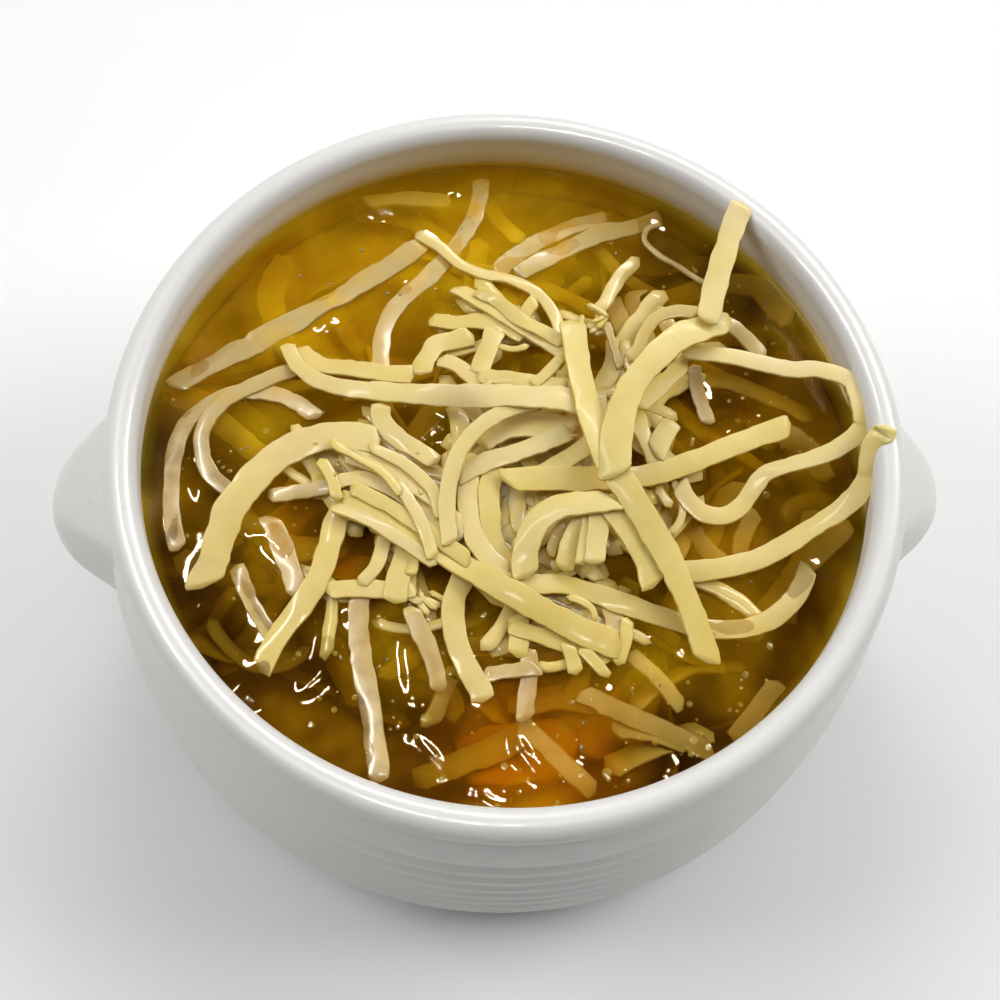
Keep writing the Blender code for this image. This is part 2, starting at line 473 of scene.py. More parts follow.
# %% Glaze
def glaze():
    """White glaze with faint specks. Inside the bowl it is painted lighter, as painted light
    bounced about in the bowl, and warmer just above the broth, as painted light thrown up by the
    broth with a trace of grease; it is yellow where oil clings, and takes the broth's colour
    below its level."""
    recipe = Recipe("glazed_porcelain")
    cloud = recipe.noise(38.0, 2.0)
    fleck = recipe.noise(1.6, 1.0)
    body = recipe.mix(cloud, (0.74, 0.735, 0.715), (0.80, 0.795, 0.775))
    body = recipe.mix(fleck.between(0.74, 0.80) * 0.18, body, (0.55, 0.52, 0.46))
    x, y, z = (recipe.axis(name) for name in "XYZ")
    reach = (x * x + y * y) ** 0.5
    inside = (1.0 - reach.between(63.6, 63.9)) * z.between(6.8, 7.6)
    # Painted light: the inside below the lip is made lighter than the outside, for light that
    # bounces about in the bowl.
    body = recipe.mix(inside * (1.0 - z.between(54.0, 58.0)), body, (0.87, 0.865, 0.845))
    # Painted light, with a trace of grease: a warmer tint on the wall just above the broth, for
    # light thrown up by the broth.
    warm = inside * (1.0 - z.between(LEVEL + 3.0, LEVEL + 10.0)) * z.between(LEVEL - 0.6, LEVEL)
    film = inside * (1.0 - z.between(LEVEL + 1.2, LEVEL + 3.4))
    film = film * z.between(LEVEL - 9.0, LEVEL - 6.0)
    body = recipe.mix(warm * 0.4, body, (0.80, 0.71, 0.50))
    stained = recipe.mix(film * 0.9, body, (0.88, 0.68, 0.05))
    sunk = inside * (1.0 - z.between(LEVEL - 0.3, LEVEL + 0.2))
    colour = recipe.mix(sunk, stained, under_broth(recipe, stained))
    ripple = recipe.noise(9.0, 1.0)
    return recipe.finish({
        "Base Color": colour,
        "Roughness": 0.30 + cloud * 0.08,
        "Specular IOR Level": 0.15,
        "Coat Weight": 0.12,
        "Coat Roughness": 0.03,
        "Normal": recipe.bump(ripple, 0.35, 0.25)})


# %% [markdown]
# ## The bowl
# A potter turns the bowl, so its surface is one section carried round the axis: up the
# inside, over the rolled lip, down the ribbed belly, round the heel and the foot ring, and
# back to the middle underneath. The ribs are a cosine along the wall. Each lug is a
# flat-topped ear made of outlines, which run along the wall, out from it and back inside
# it. Its sides meet the wall at an edge, and the edge is wavy where ribs pass under it.

# %% Section and turning
def arc(centre, radii, start, end, count):
    """Points of an ellipse's arc: the centre plus each radius times the cosine or sine."""
    angle = np.radians(np.linspace(start, end, count))
    return np.stack([centre[0] + radii[0] * np.cos(angle),
                     centre[1] + radii[1] * np.sin(angle)], -1)


def bowl_section():
    """Radius and height all round the section, from the middle inside to the middle
    underneath."""
    basin = arc((BELLY_RADIUS - WALL - CORNER_WIDE, FLOOR_Z + CORNER_HIGH),
                (CORNER_WIDE, CORNER_HIGH), -90, -8, 26)
    floor = np.stack([np.linspace(1.0, basin[0, 0] - 2.0, 14), np.full(14, FLOOR_Z)], -1)
    wall_z = np.concatenate([np.linspace(29.0, 46.0, 10), np.linspace(47.0, 57.2, 28)])
    wall = np.stack([inside_radius(wall_z), wall_z], -1)
    lip = arc((RIM_RADIUS - LIP_WIDTH / 2, HEIGHT - LIP_DROP), (LIP_WIDTH / 2, LIP_DROP),
              179, -35, 34)
    neck = np.array([[NECK_RADIUS + 0.05, NECK_Z + 0.35], [NECK_RADIUS - 0.02, NECK_Z - 0.2]])
    side_z = np.concatenate([np.linspace(53.6, SHOULDER_Z + 0.6, 8),
                             np.linspace(SHOULDER_Z, HEEL_Z, 97)])
    pitch = (SHOULDER_Z - HEEL_Z) / RIB_COUNT
    rib = 0.5 - 0.5 * np.cos(math.tau * (SHOULDER_Z - side_z) / pitch)
    ribbed = np.where(side_z < SHOULDER_Z, rib * RIB_DEPTH, 0.0)
    side = np.stack([belly(side_z) - ribbed, side_z], -1)
    heel = arc((FOOT_RADIUS + 2.0, HEEL_Z), (belly(HEEL_Z) - FOOT_RADIUS - 2.0,
                                             HEEL_Z - FOOT_HEIGHT), -6, -80, 14)
    ring = FOOT_RADIUS - FOOT_WIDTH
    foot = np.array([[FOOT_RADIUS + 0.5, FOOT_HEIGHT - 0.2], [FOOT_RADIUS + 0.1, 2.0],
                     [FOOT_RADIUS, 0.9], [FOOT_RADIUS - 0.2, 0.3], [FOOT_RADIUS - 0.7, 0.02],
                     [FOOT_RADIUS - 2.0, 0.0], [ring + 0.7, 0.02], [ring + 0.2, 0.3],
                     [ring, 0.9], [ring - 0.3, 2.0], [ring - 1.4, FOOT_HEIGHT - 0.3]])
    under = np.stack([np.linspace(ring - 4.0, 1.0, 10), np.full(10, FOOT_HEIGHT)], -1)
    return np.concatenate([floor, basin, wall, lip, neck, side, heel, foot, under])


def turned(section, columns):
    """A surface of revolution: each radius times the cosine and sine of the angle."""
    angle = np.linspace(0, math.tau, columns, endpoint=False)
    radius, height = section[:, 0][:, None], section[:, 1][:, None]
    return np.stack([radius * np.cos(angle), radius * np.sin(angle),
                     np.broadcast_to(height, (len(section), columns))], -1)


# %% Lugs
def lug(side, columns=72):
    """A flat-topped ear that leans down and out. Each ring is its outline at one height:
    along the wall, out along a slope that starts as a hollow, round a soft corner to a
    straight outer edge, and back inside the wall. The rings open from the middle of the
    top, roll over the edge to the widest part, and close again as they run down to the
    wall."""
    over = np.radians(np.linspace(90, 0, 12))
    under = np.radians(np.linspace(-6, -88, 22))
    opening = np.linspace(0.05, 0.72, 8)
    share = np.concatenate([opening, 0.74 + 0.26 * np.cos(over),
                            0.1 + 0.9 * np.cos(under) ** 0.6])
    rise = np.concatenate([LUG_UP + 0.25 * (1 - opening), LUG_UP * np.sin(over) ** 0.8,
                           LUG_DOWN * np.sin(under)])
    wide = np.concatenate([opening * 1.2, 0.888 + 0.112 * np.cos(over),
                           0.45 + 0.55 * np.cos(under) ** 0.6])
    outer = (columns * 3) // 4
    place = np.sin(np.linspace(-1, 1, outer) * math.pi / 2)
    slope = (1 - np.abs(place)) / (1 - 0.28)
    slope = 1.12 * slope ** 2 / (slope + 0.12)
    edge = slope / (1 + slope ** 6) ** (1 / 6)
    back = np.linspace(1, -1, columns - outer + 2)[1:-1]
    across = np.append(place, back) * wide[:, None] * LUG_HALF_WIDTH
    out = np.append(edge, np.zeros(len(back))) * share[:, None] * LUG_REACH
    out -= np.append(np.full(outer, 0.5), np.full(len(back), 2.6)) * (0.3 + 0.7 * share[:, None])
    z = LUG_Z + rise[:, None] - LUG_LEAN * np.maximum(out, 0)
    sweep = across / BELLY_RADIUS
    radius = belly(z) + out
    return closed_tube(np.stack([side * radius * np.cos(sweep), radius * np.sin(sweep), z], -1))


bowl_shape = joined([closed_tube(turned(bowl_section(), 360)), lug(1), lug(-1)])
make_piece("soup_bowl", bowl_shape, glaze(), "bowl")
print("bowl reach", bowl_shape["points"].min(0).round(2), bowl_shape["points"].max(0).round(2))

# %% [markdown]
# ## Strands
# A shred of cheese or a strip of onion is a flat band: a section carried along a path.
# The path is a smooth curve through a few points, resampled at even steps. The
# section is a flat bar with small round corners, which swells and thins at random, turns
# slowly about the path, and is cut off at a slant at both ends.

# %% Paths
def smooth_path(points, step):
    """A curve through the points: between two neighbours a cubic that leaves each along
    the chord of the points on its two sides, cut into even steps."""
    chord = np.append(0, np.cumsum(np.linalg.norm(np.diff(points, axis=0), axis=1)))
    slope = np.gradient(points, chord, axis=0)
    fine = np.linspace(0, chord[-1], int(chord[-1] / (step * 0.4)) + 8)
    cell = np.clip(np.searchsorted(chord, fine, "right") - 1, 0, len(chord) - 2)
    width = (chord[cell + 1] - chord[cell])[:, None]
    part = (fine[:, None] - chord[cell][:, None]) / width
    curve = ((2 * part ** 3 - 3 * part ** 2 + 1) * points[cell]
             + (part ** 3 - 2 * part ** 2 + part) * width * slope[cell]
             + (3 * part ** 2 - 2 * part ** 3) * points[cell + 1]
             + (part ** 3 - part ** 2) * width * slope[cell + 1])
    run = np.append(0, np.cumsum(np.linalg.norm(np.diff(curve, axis=0), axis=1)))
    count = max(8, int(run[-1] / step))
    even = np.linspace(0, run[-1], count)
    return np.stack([np.interp(even, run, curve[:, axis]) for axis in range(3)], -1)


def soften(values, width):
    """Each value replaced by the mean of its neighbours, weighted by a bell curve."""
    reach = max(1, int(width * 2.5))
    bell = np.exp(-0.5 * (np.arange(-reach, reach + 1) / width) ** 2)
    padded = np.pad(values, reach, "edge")
    return np.convolve(padded, bell / bell.sum(), "valid")


# %% Bands
# How far a band turns, swells and varies in depth, each with its pitch in millimetres, and
# the two pitches of its ragged edges.
TURN, SWELL, UNEVEN = (0.12, 16.0), (0.035, 9.0), (0.05, 2.6)
EDGE_PITCHES = (1.3, 3.4)


def band(path, width, thickness, draw, ragged=0.06, roll=0.0, sides=16, blunt=0.28):
    """A band along a path: at each step the bar's width runs across the path and its
    thickness stands square to it, both turned about the path by the roll. Two widths are
    those of its two ends."""
    def varied(amount, pitch):
        return amount * wobble(length, count, pitch, draw)

    count = len(path)
    width = np.linspace(*(np.ravel(width)[[0, -1]]), count)
    step = np.linalg.norm(path[1] - path[0])
    length = step * count
    ahead = np.gradient(path, axis=0)
    ahead /= np.linalg.norm(ahead, axis=1)[:, None]
    flat = np.stack([-ahead[:, 1], ahead[:, 0], np.zeros(count)], -1)
    flat /= np.maximum(np.linalg.norm(flat, axis=1), 1e-6)[:, None]
    up = np.cross(ahead, flat)
    up *= np.sign(up[:, 2:3] + 1e-9)
    turn = roll + varied(*TURN)
    across = flat * np.cos(turn)[:, None] + up * np.sin(turn)[:, None]
    above = up * np.cos(turn)[:, None] - flat * np.sin(turn)[:, None]
    place = np.arange(count) * step
    end = np.minimum(place, place[::-1]) / (width * blunt)
    rounding = np.sqrt(np.clip(1 - (1 - np.clip(end, 0, 1)) ** 2, 0.004, 1))
    swell = 1 + varied(*SWELL)
    left, right = (1 + ragged * sum(varied(1.0, pitch) for pitch in EDGE_PITCHES)
                   for _ in range(2))
    half = (width / 2 * swell * rounding)[:, None]
    deep = (thickness / 2 * (0.35 + 0.65 * rounding) * rounding ** 0.5)[:, None]
    deep = deep * (1 + varied(*UNEVEN))[:, None]
    around = np.radians((np.arange(sides) // (sides // 4)) * 90.0 + 45.0
                        + np.tile(np.linspace(-38.0, 38.0, sides // 4), 4))
    corner = deep * 0.6
    level = np.sign(np.cos(around)) * (half - corner) + corner * np.cos(around)
    level = np.where(np.cos(around) > 0, right[:, None], left[:, None]) * level
    rise = np.sign(np.sin(around)) * (deep - corner) + corner * np.sin(around)
    cut = draw.normal(0, 0.45, 2)
    slant = cut[0] * np.exp(-place / width) + cut[1] * np.exp(-place[::-1] / width)
    rings = (path[:, None] + across[:, None] * level[..., None] + above[:, None] * rise[..., None]
             + ahead[:, None] * (level * slant[:, None])[..., None])
    return closed_tube(rings, draw.uniform(-1, 1), step)


# %% [markdown]
# ## Letting the heap settle
# Shreds lie on each other, so each one has to rest on those below it. A map of the heap's
# height, half a millimetre a cell, does that. A strand reads the highest point under each
# step of its path, takes a low stiff curve over them, and then adds itself to the map. The
# curve is smoothed, so a shred can still dip a little into one below. Strands go down in
# order, from the bottom of the heap to the top.

# %% The height map
CELL = 0.5
SPAN = 70.0
CLEAR = 0.46                    # from a strand's middle to what it touches, in thicknesses
heap_map = np.full((int(2 * SPAN / CELL), int(2 * SPAN / CELL)), LEVEL - 0.4)


def cells(points):
    """Row and column of each point in the height map."""
    place = np.clip(((points[..., :2] + SPAN) / CELL).astype(int), 0, len(heap_map) - 1)
    return place[..., 1], place[..., 0]


def footprint(path, width):
    """Points across the strand at each step of its path, where it touches what is below."""
    ahead = np.gradient(path[:, :2], axis=0)
    flat = np.stack([-ahead[:, 1], ahead[:, 0]], -1)
    flat /= np.maximum(np.linalg.norm(flat, axis=1), 1e-6)[:, None]
    across = np.linspace(-0.42, 0.42, 7) * width
    return path[:, None, :2] + flat[:, None] * across[None, :, None]


def settle(path, width, thickness, step, slope=0.24):
    """The strand's height at each step: the highest of the cones, falling by the slope
    with distance along it, that stand on what lies below, softened, and never below the
    height it already had."""
    below = heap_map[cells(footprint(path, width))].max(1) + thickness * CLEAR
    gap = np.abs(np.arange(len(path))[:, None] - np.arange(len(path))[None]) * step
    held = (below[None] - slope * (np.sqrt(gap ** 2 + 4.0) - 2.0)).max(1)
    rested = np.maximum(soften(np.maximum(held, path[:, 2]), 3.4 / step), path[:, 2])
    rested = np.minimum(rested, TOP - thickness * 0.9)
    return np.concatenate([path[:, :2], rested[:, None]], 1)


def press(path, width, thickness):
    """Adds a settled strand to the height map."""
    spots = footprint(path, width)
    top = np.repeat(path[:, 2:3] + thickness * CLEAR, spots.shape[1], 1)
    np.maximum.at(heap_map, cells(spots), top)


# %% [markdown]
# ## Where each shred lies
# The large shreds are placed one by one, as a cook would with tweezers. Each is a row of points:
# two positions in millimetres as they look from above the near edge, against a plane near the
# broth, and how far the shred is held above the broth there. A shred that stands up from that
# plane looks further from the eye than it is, so one helper moves each point towards the eye's
# foot in proportion to its height.

# %% From looks to places
def placed(seen, z):
    """Points moved along the line to the eye until they are at their own heights."""
    share = ((EYE[2] - z) / (EYE[2] - SIGHT_PLANE))[:, None]
    return np.concatenate([EYE[:2] + (seen[:, :2] - EYE[:2]) * share, z[:, None]], 1)


def kept_inside(path, half_width):
    """Points pulled in towards the axis where the bowl's wall would cut them."""
    reach = np.linalg.norm(path[:, :2], axis=1)
    over = path[:, 2] > HEIGHT - 0.2
    limit = np.where(over, RIM_RADIUS - 1.5, inside_radius(path[:, 2]) - half_width)
    pull = np.minimum(1, limit / np.maximum(reach, 1e-6))
    return np.concatenate([path[:, :2] * pull[:, None], path[:, 2:]], 1)


STEP = 0.6                      # along a strand
PASSES = 3                      # of placing and settling


def hero(row, thickness):
    """A listed shred: curved through its points, then moved to its place and settled, several
    times over, since how high it rests decides where it is."""
    width, points = max(np.ravel(row[0])), row[1]
    seen = smooth_path(np.array(points, float), STEP)
    z = LEVEL + seen[:, 2]
    for _ in range(PASSES):
        path = placed(seen, z)
        path[:, 2] = LEVEL + seen[:, 2]
        path = settle(path, width, thickness, STEP)
        z = path[:, 2]
    path = kept_inside(path, min(width, thickness * 2) / 2)
    press(path, width, thickness)
    return path


# %% Wet strands at the surface
WET = [
    (4.0, [(-56, 14.5, -1.2), (-50, 18.5, -.7), (-44, 22, -.5), (-36, 27, -.4),
           (-29, 31.5, -.4), (-22, 36.5, -.4), (-17, 40, -.3), (-13, 43.5, -.2)]),
    (3.2, [(-2.5, 57, -2.1), (-2.8, 53, -1.8), (-4, 48.5, -1.4), (-7, 43, -1.0),
           (-12, 36.5, -.8), (-17, 31.5, -.6), (-19.6, 27.5, -.4), (-20.7, 23, .2),
           (-20.8, 18.5, 1.2), (-20.8, 14, 2.4)]),
    (3.0, [(-31.5, 8.5, -.2), (-35, 11.5, -.3), (-40, 13.5, -.3), (-45, 13.5, -.3),
           (-50, 11, -.4), (-53.5, 7, -.4), (-55, 1.5, -.4), (-55, -5, -.5), (-54.6, -10, -.9),
           (-53.5, -15, -1.8)]),
    (2.8, [(-34, 18.5, -.4), (-41, 15.5, -.6), (-47, 12, -.7), (-50.3, 7, -.8), (-50.3, 2, -.8),
           (-48.5, -2, -.8), (-45, -5, -.6)]),
    (3.6, [(-24.3, -22.5, .6), (-24.6, -27, -.2), (-24.3, -33.5, -.4), (-23.2, -40, -.6),
           (-22.3, -46, -.8), (-21.5, -53.5, -1.3)]),
    (3.0, [(2.2, -32.5, .3), (2.2, -36.5, -.1), (1.6, -40, -.5), (1, -44.5, -1.0)]),
    (2.6, [(-5.5, -36.8, -.8), (-1, -36.2, -.6), (4, -35.6, -.5)]),
    (3.2, [(-16.3, -25, -.7), (-15.2, -28.5, -.9), (-13.8, -32, -1.1), (-12.5, -36, -1.4),
           (-12.2, -39.5, -1.9)]),
    (2.8, [(-44.3, -17.5, -1.0), (-42.3, -22.5, -1.0), (-40, -27, -1.2), (-37.5, -31, -1.6)]),
    (3.6, [(-39.5, -9, -1.2), (-37, -14.5, -1.3), (-35.2, -19.5, -1.3), (-34, -24, -1.2)]),
    (2.6, [(-39.5, -5.6, -.4), (-35, -5, -.1), (-31, -4.2, .6), (-28, -3.2, 1.6)]),
    (3.5, [(-1, 36.5, -1.6), (6, 42.5, -1.5), (14, 46.5, -1.6), (20, 48.5, -2.0)]),
    (3.5, [(3, 36.5, -1.2), (10, 40.5, -1.3), (18, 44.5, -1.4), (25, 46.5, -1.6),
           (30, 48.5, -2.2)]),
    (3.0, [(36.5, 27.8, 5.4), (40.5, 26, 4.4), (43, 23, 3.2), (45.8, 19.5, 1.6)]),
    (2.7, [(33, 18.5, 1.8), (33.2, 14.5, .8), (33.8, 10.5, .1), (34.8, 6.8, -.9)]),
    (1.5, [(18.4, 27, 1.0), (19.3, 22.5, 1.0), (20.3, 17.5, 1.2)]),
    (3.6, [(15.2, -25, -.1), (16.2, -27.5, -.3), (16.4, -31, -.6)]),
    (1.0, [(30, 47.2, -.1), (27, 46, 0), (26.3, 44, 0), (28, 41.3, 0), (32, 38.2, 0),
           (36.5, 34.6, .1)]),
]

# %% Dry shreds, from the bottom of the heap to the top
DRY = [
    (3.6, [(-35.5, 22, .3), (-31, 18.8, .7), (-25.5, 18, 1.2), (-19, 17, 1.6),
           (-15, 16.8, 1.6)]),
    (3.2, [(-30, -22.2, .5), (-24.5, -21.9, .8), (-19.5, -22.2, 1), (-15.4, -22, 1.1)]),
    (4.2, [(-15.8, -13.5, 1.8), (-17.2, -17, 1.5), (-18.4, -20.5, 1.2), (-18.9, -24.6, .8)]),
    (2.4, [(-19.5, -10.5, 2.2), (-20.6, -14, 1.6), (-21.8, -18, 1), (-24.5, -21.3, .6)]),
    (1.9, [(-19, -11.5, 2.2), (-16.4, -14.6, 1.8), (-15.8, -17.5, 1.2), (-16.6, -20, .9)]),
    (3.8, [(-7.6, -19.8, 2), (-9.2, -23.5, 1.6), (-9.7, -27.5, 1.2), (-8.9, -32, .9),
           (-7.3, -36, .7), (-5.5, -39.5, .5), (-5.3, -41.2, .4)]),
    (3.6, [(-1.3, 0, 3.0), (-2.9, -4, 3.2), (-3.2, -9, 3.0), (-2.7, -14, 2.6), (-1, -18.5, 2.2),
           (2, -22, 1.6)]),
    (3.6, [(-6, 2, 2.8), (-6.6, -3.5, 3.2), (-6.6, -9, 3.0), (-5.6, -13.5, 2.6),
           (-3.6, -17, 2.2), (0, -20, 1.8)]),
    (3.3, [(.8, -26.5, 1.6), (.9, -29.5, 1.2), (.3, -34, .5)]),
    (2.8, [(-1, -28.6, 1.5), (4, -30.4, 1.3), (9.5, -32.4, .9), (15.5, -34.6, .4)]),
    (2.4, [(8.3, -31.5, .9), (9, -34, .6), (9.6, -37, .2)]),
    (2.0, [(10.5, -32.5, .8), (12.5, -34.8, .4), (14.5, -37.6, -.1)]),
    (2.2, [(18.3, -27.5, .6), (17.8, -31, .4), (16.2, -35.6, .1)]),
    (3.5, [(-3.5, -20.4, 2.3), (2, -21.6, 2), (8, -21.9, 1.8), (13, -23.4, 1.6),
           (18, -25.3, 1.2), (23, -27.2, .7), (28, -29, .2), (33, -29.9, -.5), (38, -29.6, -1),
           (43, -27.4, -1.4), (47, -23, -1.8), (49, -19, -2.2)]),
    (1.2, [(8.6, -23.8, 2.4), (11, -24.7, 2.1), (12.7, -26, 1.7), (13.1, -28.2, 1.2)]),
    (2.3, [(-14.5, 45.3, .4), (-10.5, 42.5, .6), (-6.5, 38.5, .9), (-3, 36.8, 1.1),
           (2, 35.6, 1.3), (6, 33.3, 1.6), (8.6, 30, 2), (9.9, 26.5, 2.6), (10.2, 22, 3.2)]),
    (2.6, [(6.5, 31.8, .6), (4.4, 29, 1), (3.2, 26, 1.6)]),
    (3.0, [(-12.5, 27.6, .5), (-8, 26.9, 1.1), (-4, 27.2, 1.6), (0, 26.4, 2.2), (4, 24, 3)]),
    (3.6, [(-14.2, 16.6, 1), (-13, 20, 1.3), (-11.2, 22.6, 1.6), (-8, 23.4, 1.9),
           (-4.8, 24.4, 2.2)]),
    (3.0, [(-8, 34, .2), (-4.5, 32, .8), (-1, 29.5, 1.6), (3.5, 26.2, 2.6), (8, 22.8, 3.8),
           (12, 19.6, 5.2)]),
    (2.6, [(-4, 33.5, .2), (-.5, 31.2, 1.0), (3, 27.8, 2.0), (7.5, 25, 3.2), (11, 22.6, 4.4)]),
    (2.8, [(-11, 19.8, 1.6), (-8, 18.5, 2.4), (-6, 16.9, 3.4), (-4, 14.9, 4.4), (-2, 13, 5.4)]),
    (3.4, [(-.9, 26, 2.4), (-2, 22.5, 2.8), (-3.2, 19.8, 3.4), (-4.2, 16.6, 4.2)]),
    (1.1, [(-.8, 22.4, 2.8), (2, 21.6, 2.8), (4.8, 22.4, 3.2)]),
    (2.6, [(-4.5, 16.6, 4.2), (1, 15.9, 4.8), (6, 15.2, 5.4), (11, 14.6, 6.2)]),
    (2.1, [(4.8, 14.4, 4.4), (7.5, 17, 4.6), (10.6, 20.4, 5)]),
    (4.6, [(-4.6, 3.6, 3.2), (-1, 6, 3.8), (3, 7, 4.4), (7, 6.9, 4.8), (12, 6.2, 5.4)]),
    (3.4, [(-8.5, -2.5, 2.8), (-4, 0, 3.2), (1, 1.7, 3.6), (6, 3.6, 4.2), (11, 6.2, 5)]),
    (3.5, [(5, -2.6, 3.6), (9, 0, 4.2), (13, 2.6, 5), (16, 5.5, 6)]),
    (3.0, [(22.5, 9.8, 4.2), (23, 6, 4), (24.2, 2.5, 3.8), (25.2, -1, 3.6)]),
    (3.8, [(24.8, 1.2, 3.2), (26.5, 4.3, 3.4), (28.6, 7.8, 3)]),
    (2.4, [(34.8, 28.9, 5), (30.5, 29, 4.4), (27, 27.5, 3.8), (25.1, 25, 3.2), (23.8, 22, 2.8),
           (21.8, 19.4, 2.6)]),
    (3.1, [(32.2, 19.4, 4.5), (28.5, 15.8, 5), (25.8, 13, 5.6), (22.5, 10.2, 6.2)]),
    (1.4, [(27.6, -3.4, 2.6), (28.9, -7, 2.2), (28.4, -10.5, 1.8), (26.4, -13.4, 1.6)]),
    (1.7, [(24.6, -4.4, 2.4), (27, -8.4, 1.8)]),
    (4.2, [(48.8, 6.8, 4.5), (43, 4.6, 4.2), (37, 2.3, 4), (30, -.5, 3.8), (24, -2.4, 3.6),
           (18, -3, 4), (11, -3, 4.4), (5, -2.9, 4.8), (-.8, -3.2, 4.8)]),
    (3.2, [(31, 21.2, 6), (35, 20.7, 6.6), (40, 19.9, 7.2), (45, 18.6, 7.6), (50, 17.4, 8),
           (55, 17.3, 8.5), (60, 15, 9), (62.5, 10, 9), (60, 5, 8), (55, 1.5, 7),
           (48, -.8, 5.4), (43.5, -2.4, 4), (40.8, -5.6, 2.8), (38.5, -8.4, 2.2),
           (35.2, -10.1, 2), (32, -9.3, 2.2), (29.8, -7, 2.6), (28.6, -3.8, 3)]),
    (3.7, [(65.5, 6.5, 12.4), (62.5, 0, 9.5), (59, -6, 7), (55, -9.5, 5), (50, -12.4, 3.4),
           (46, -14.9, 2.2), (42, -17.2, 1.6), (37, -18.8, 1.5), (32, -19.6, 1.6),
           (25.5, -19.8, 2)]),
    (1.8, [(9.8, -10, 5), (8.2, -12, 4.4), (7, -14.5, 3.6), (6.3, -16.9, 3)]),
    (3.4, [(14.5, -7.5, 6.6), (12, -10.5, 6), (10.1, -14, 4.8), (8.4, -19.4, 3.2)]),
    (2.6, [(13.4, -9.5, 6), (12.4, -14, 4.6), (11.6, -18.4, 3.2)]),
    (3.4, [(16.4, -6, 7.4), (15, -9.5, 6.6), (14.4, -13, 5.2), (13.4, -18.4, 3.4)]),
    (4.2, [(15, -6, 7.2), (18.2, -10, 6.2), (20.6, -14, 4.8), (22.4, -18.5, 3),
           (22.9, -22.6, 2)]),
    (4.5, [(18, -6.8, 7.6), (13.5, -7.4, 7.6), (8.8, -8, 7), (5.4, -10, 6), (3.2, -13.5, 4.8),
           (2.2, -17.4, 3.4), (2.4, -20.6, 2.4)]),
    (3.8, [(-26, -6, 2.0), (-28.2, -10, 1.4), (-29.2, -14, 1), (-30.8, -19.5, .8),
           (-34, -25, .5), (-37.5, -30, .2), (-40, -35.5, -.5)]),
    (4.5, [(-28, -6.5, 2.5), (-22, -9.3, 3), (-17, -12.3, 3), (-12, -15.4, 3), (-7, -18.7, 2.8),
           (-2, -22.2, 2.4), (3, -25.4, 1.8), (8, -28.4, 1.2), (12, -30.4, .8),
           (17, -32.4, .4)]),
    (3.4, [(-20.8, 11.5, 4.4), (-20.9, 8.8, 4), (-19.8, 6.6, 3.6), (-17.4, 4.3, 3.2),
           (-14.5, 2.3, 2.8), (-11.5, 0, 2.4)]),
    (5.2, [(-21, 4.6, 4), (-26, 5.4, 3.6), (-32, 4.6, 3), (-38, 1.6, 2.6), (-43, -4, 2.2),
           (-45.7, -8.5, 1.8), (-47, -13, 1.2), (-48, -17.5, .8), (-49.4, -21.5, .3)]),
    (2.6, [(-29.5, -3.5, 2), (-24, -2.5, 2.8), (-18, -5.5, 2.8), (-12, -10.5, 2.4),
           (-8.5, -14, 2)]),
    (3.0, [(-27, 2, 2.4), (-20, -1, 3), (-13, -6, 3), (-7.5, -12, 2.4)]),
    (2.4, [(-29, -7.5, 1.6), (-24, -9.5, 2.2), (-18, -13.5, 2), (-12, -18, 1.4)]),
    (2.8, [(-26, -4, 2.6), (-19, -8, 3), (-12.5, -12.8, 2.8), (-6.5, -17.6, 2)]),
    (2.2, [(-23, 3.4, 3), (-16.5, -.4, 3.4), (-12.4, -5, 3), (-11, -10, 2.4)]),
    (2.0, [(-31, 1.2, 2), (-29.2, -2, 2.2), (-28, -6.5, 1.8)]),
    (2.2, [(-18.5, -3, 3.2), (-15.6, -8, 3), (-13.6, -13, 2.2), (-12.6, -17, 1.4)]),
    (1.8, [(-29.5, 4.4, 2.6), (-25, 1.5, 3.2), (-20.5, -1.5, 3.4), (-17.5, -5.5, 3)]),
    (2.8, [(6, 11.6, 7), (0, 9.6, 7), (-4.2, 7, 6.5), (-6.8, 4, 6), (-8.4, 1, 5.6),
           (-9.5, -3, 5), (-10.2, -8, 4), (-9.8, -14.6, 3)]),
    ((2.6, 5.0), [(-37, 23, .5), (-34.8, 18.6, 1.2), (-31, 15.6, 2.2), (-26, 14.2, 3.4),
                  (-20, 13.5, 4.6), (-14, 13.1, 5.6), (-8, 12.7, 6.6), (0, 12.6, 7.4),
                  (5, 12.4, 7.8), (10, 12, 8), (15, 11, 7.5)]),
    (4.5, [(12.5, 27.4, 3), (12.8, 22, 5), (13.2, 17, 7.4), (14.2, 11, 9), (15.6, 5, 9.6),
           (17.2, 0, 9.6), (20.4, -6, 9), (23, -11.5, 7.6), (25.6, -17, 6), (27.6, -22.5, 4.2),
           (29.2, -28, 1.8), (30.0, -31.5, .4), (30.6, -35.5, -.5)]),
    ((4.6, 5.6), [(40.5, 26.8, 8), (36.5, 26, 8.8), (32, 24.4, 9.4), (28.5, 21.8, 9.8),
                  (25, 18.4, 10.2), (22.3, 14.6, 10.4), (20.4, 10.5, 10.5), (19, 6, 10.4),
                  (18.2, 1, 10.2), (17.8, -3, 10)]),
    (4.2, [(45, 51.8, 12.2), (42.4, 46.0, 11.2), (40.2, 40, 10.8), (38, 33, 10.4),
           (36.2, 26.6, 10.2)]),
]

# %% [markdown]
# ## The tangle under them
# Between the shreds that can be told apart lie many more, which the grater tore and
# which sank together into a mat. Each group is a seeded draw about a middle and a heading.
# The mats lie flat and low, and leave a few holes where the broth shows. The tufts are
# thinner. Both go into the height map first, so that the large shreds rest on them.

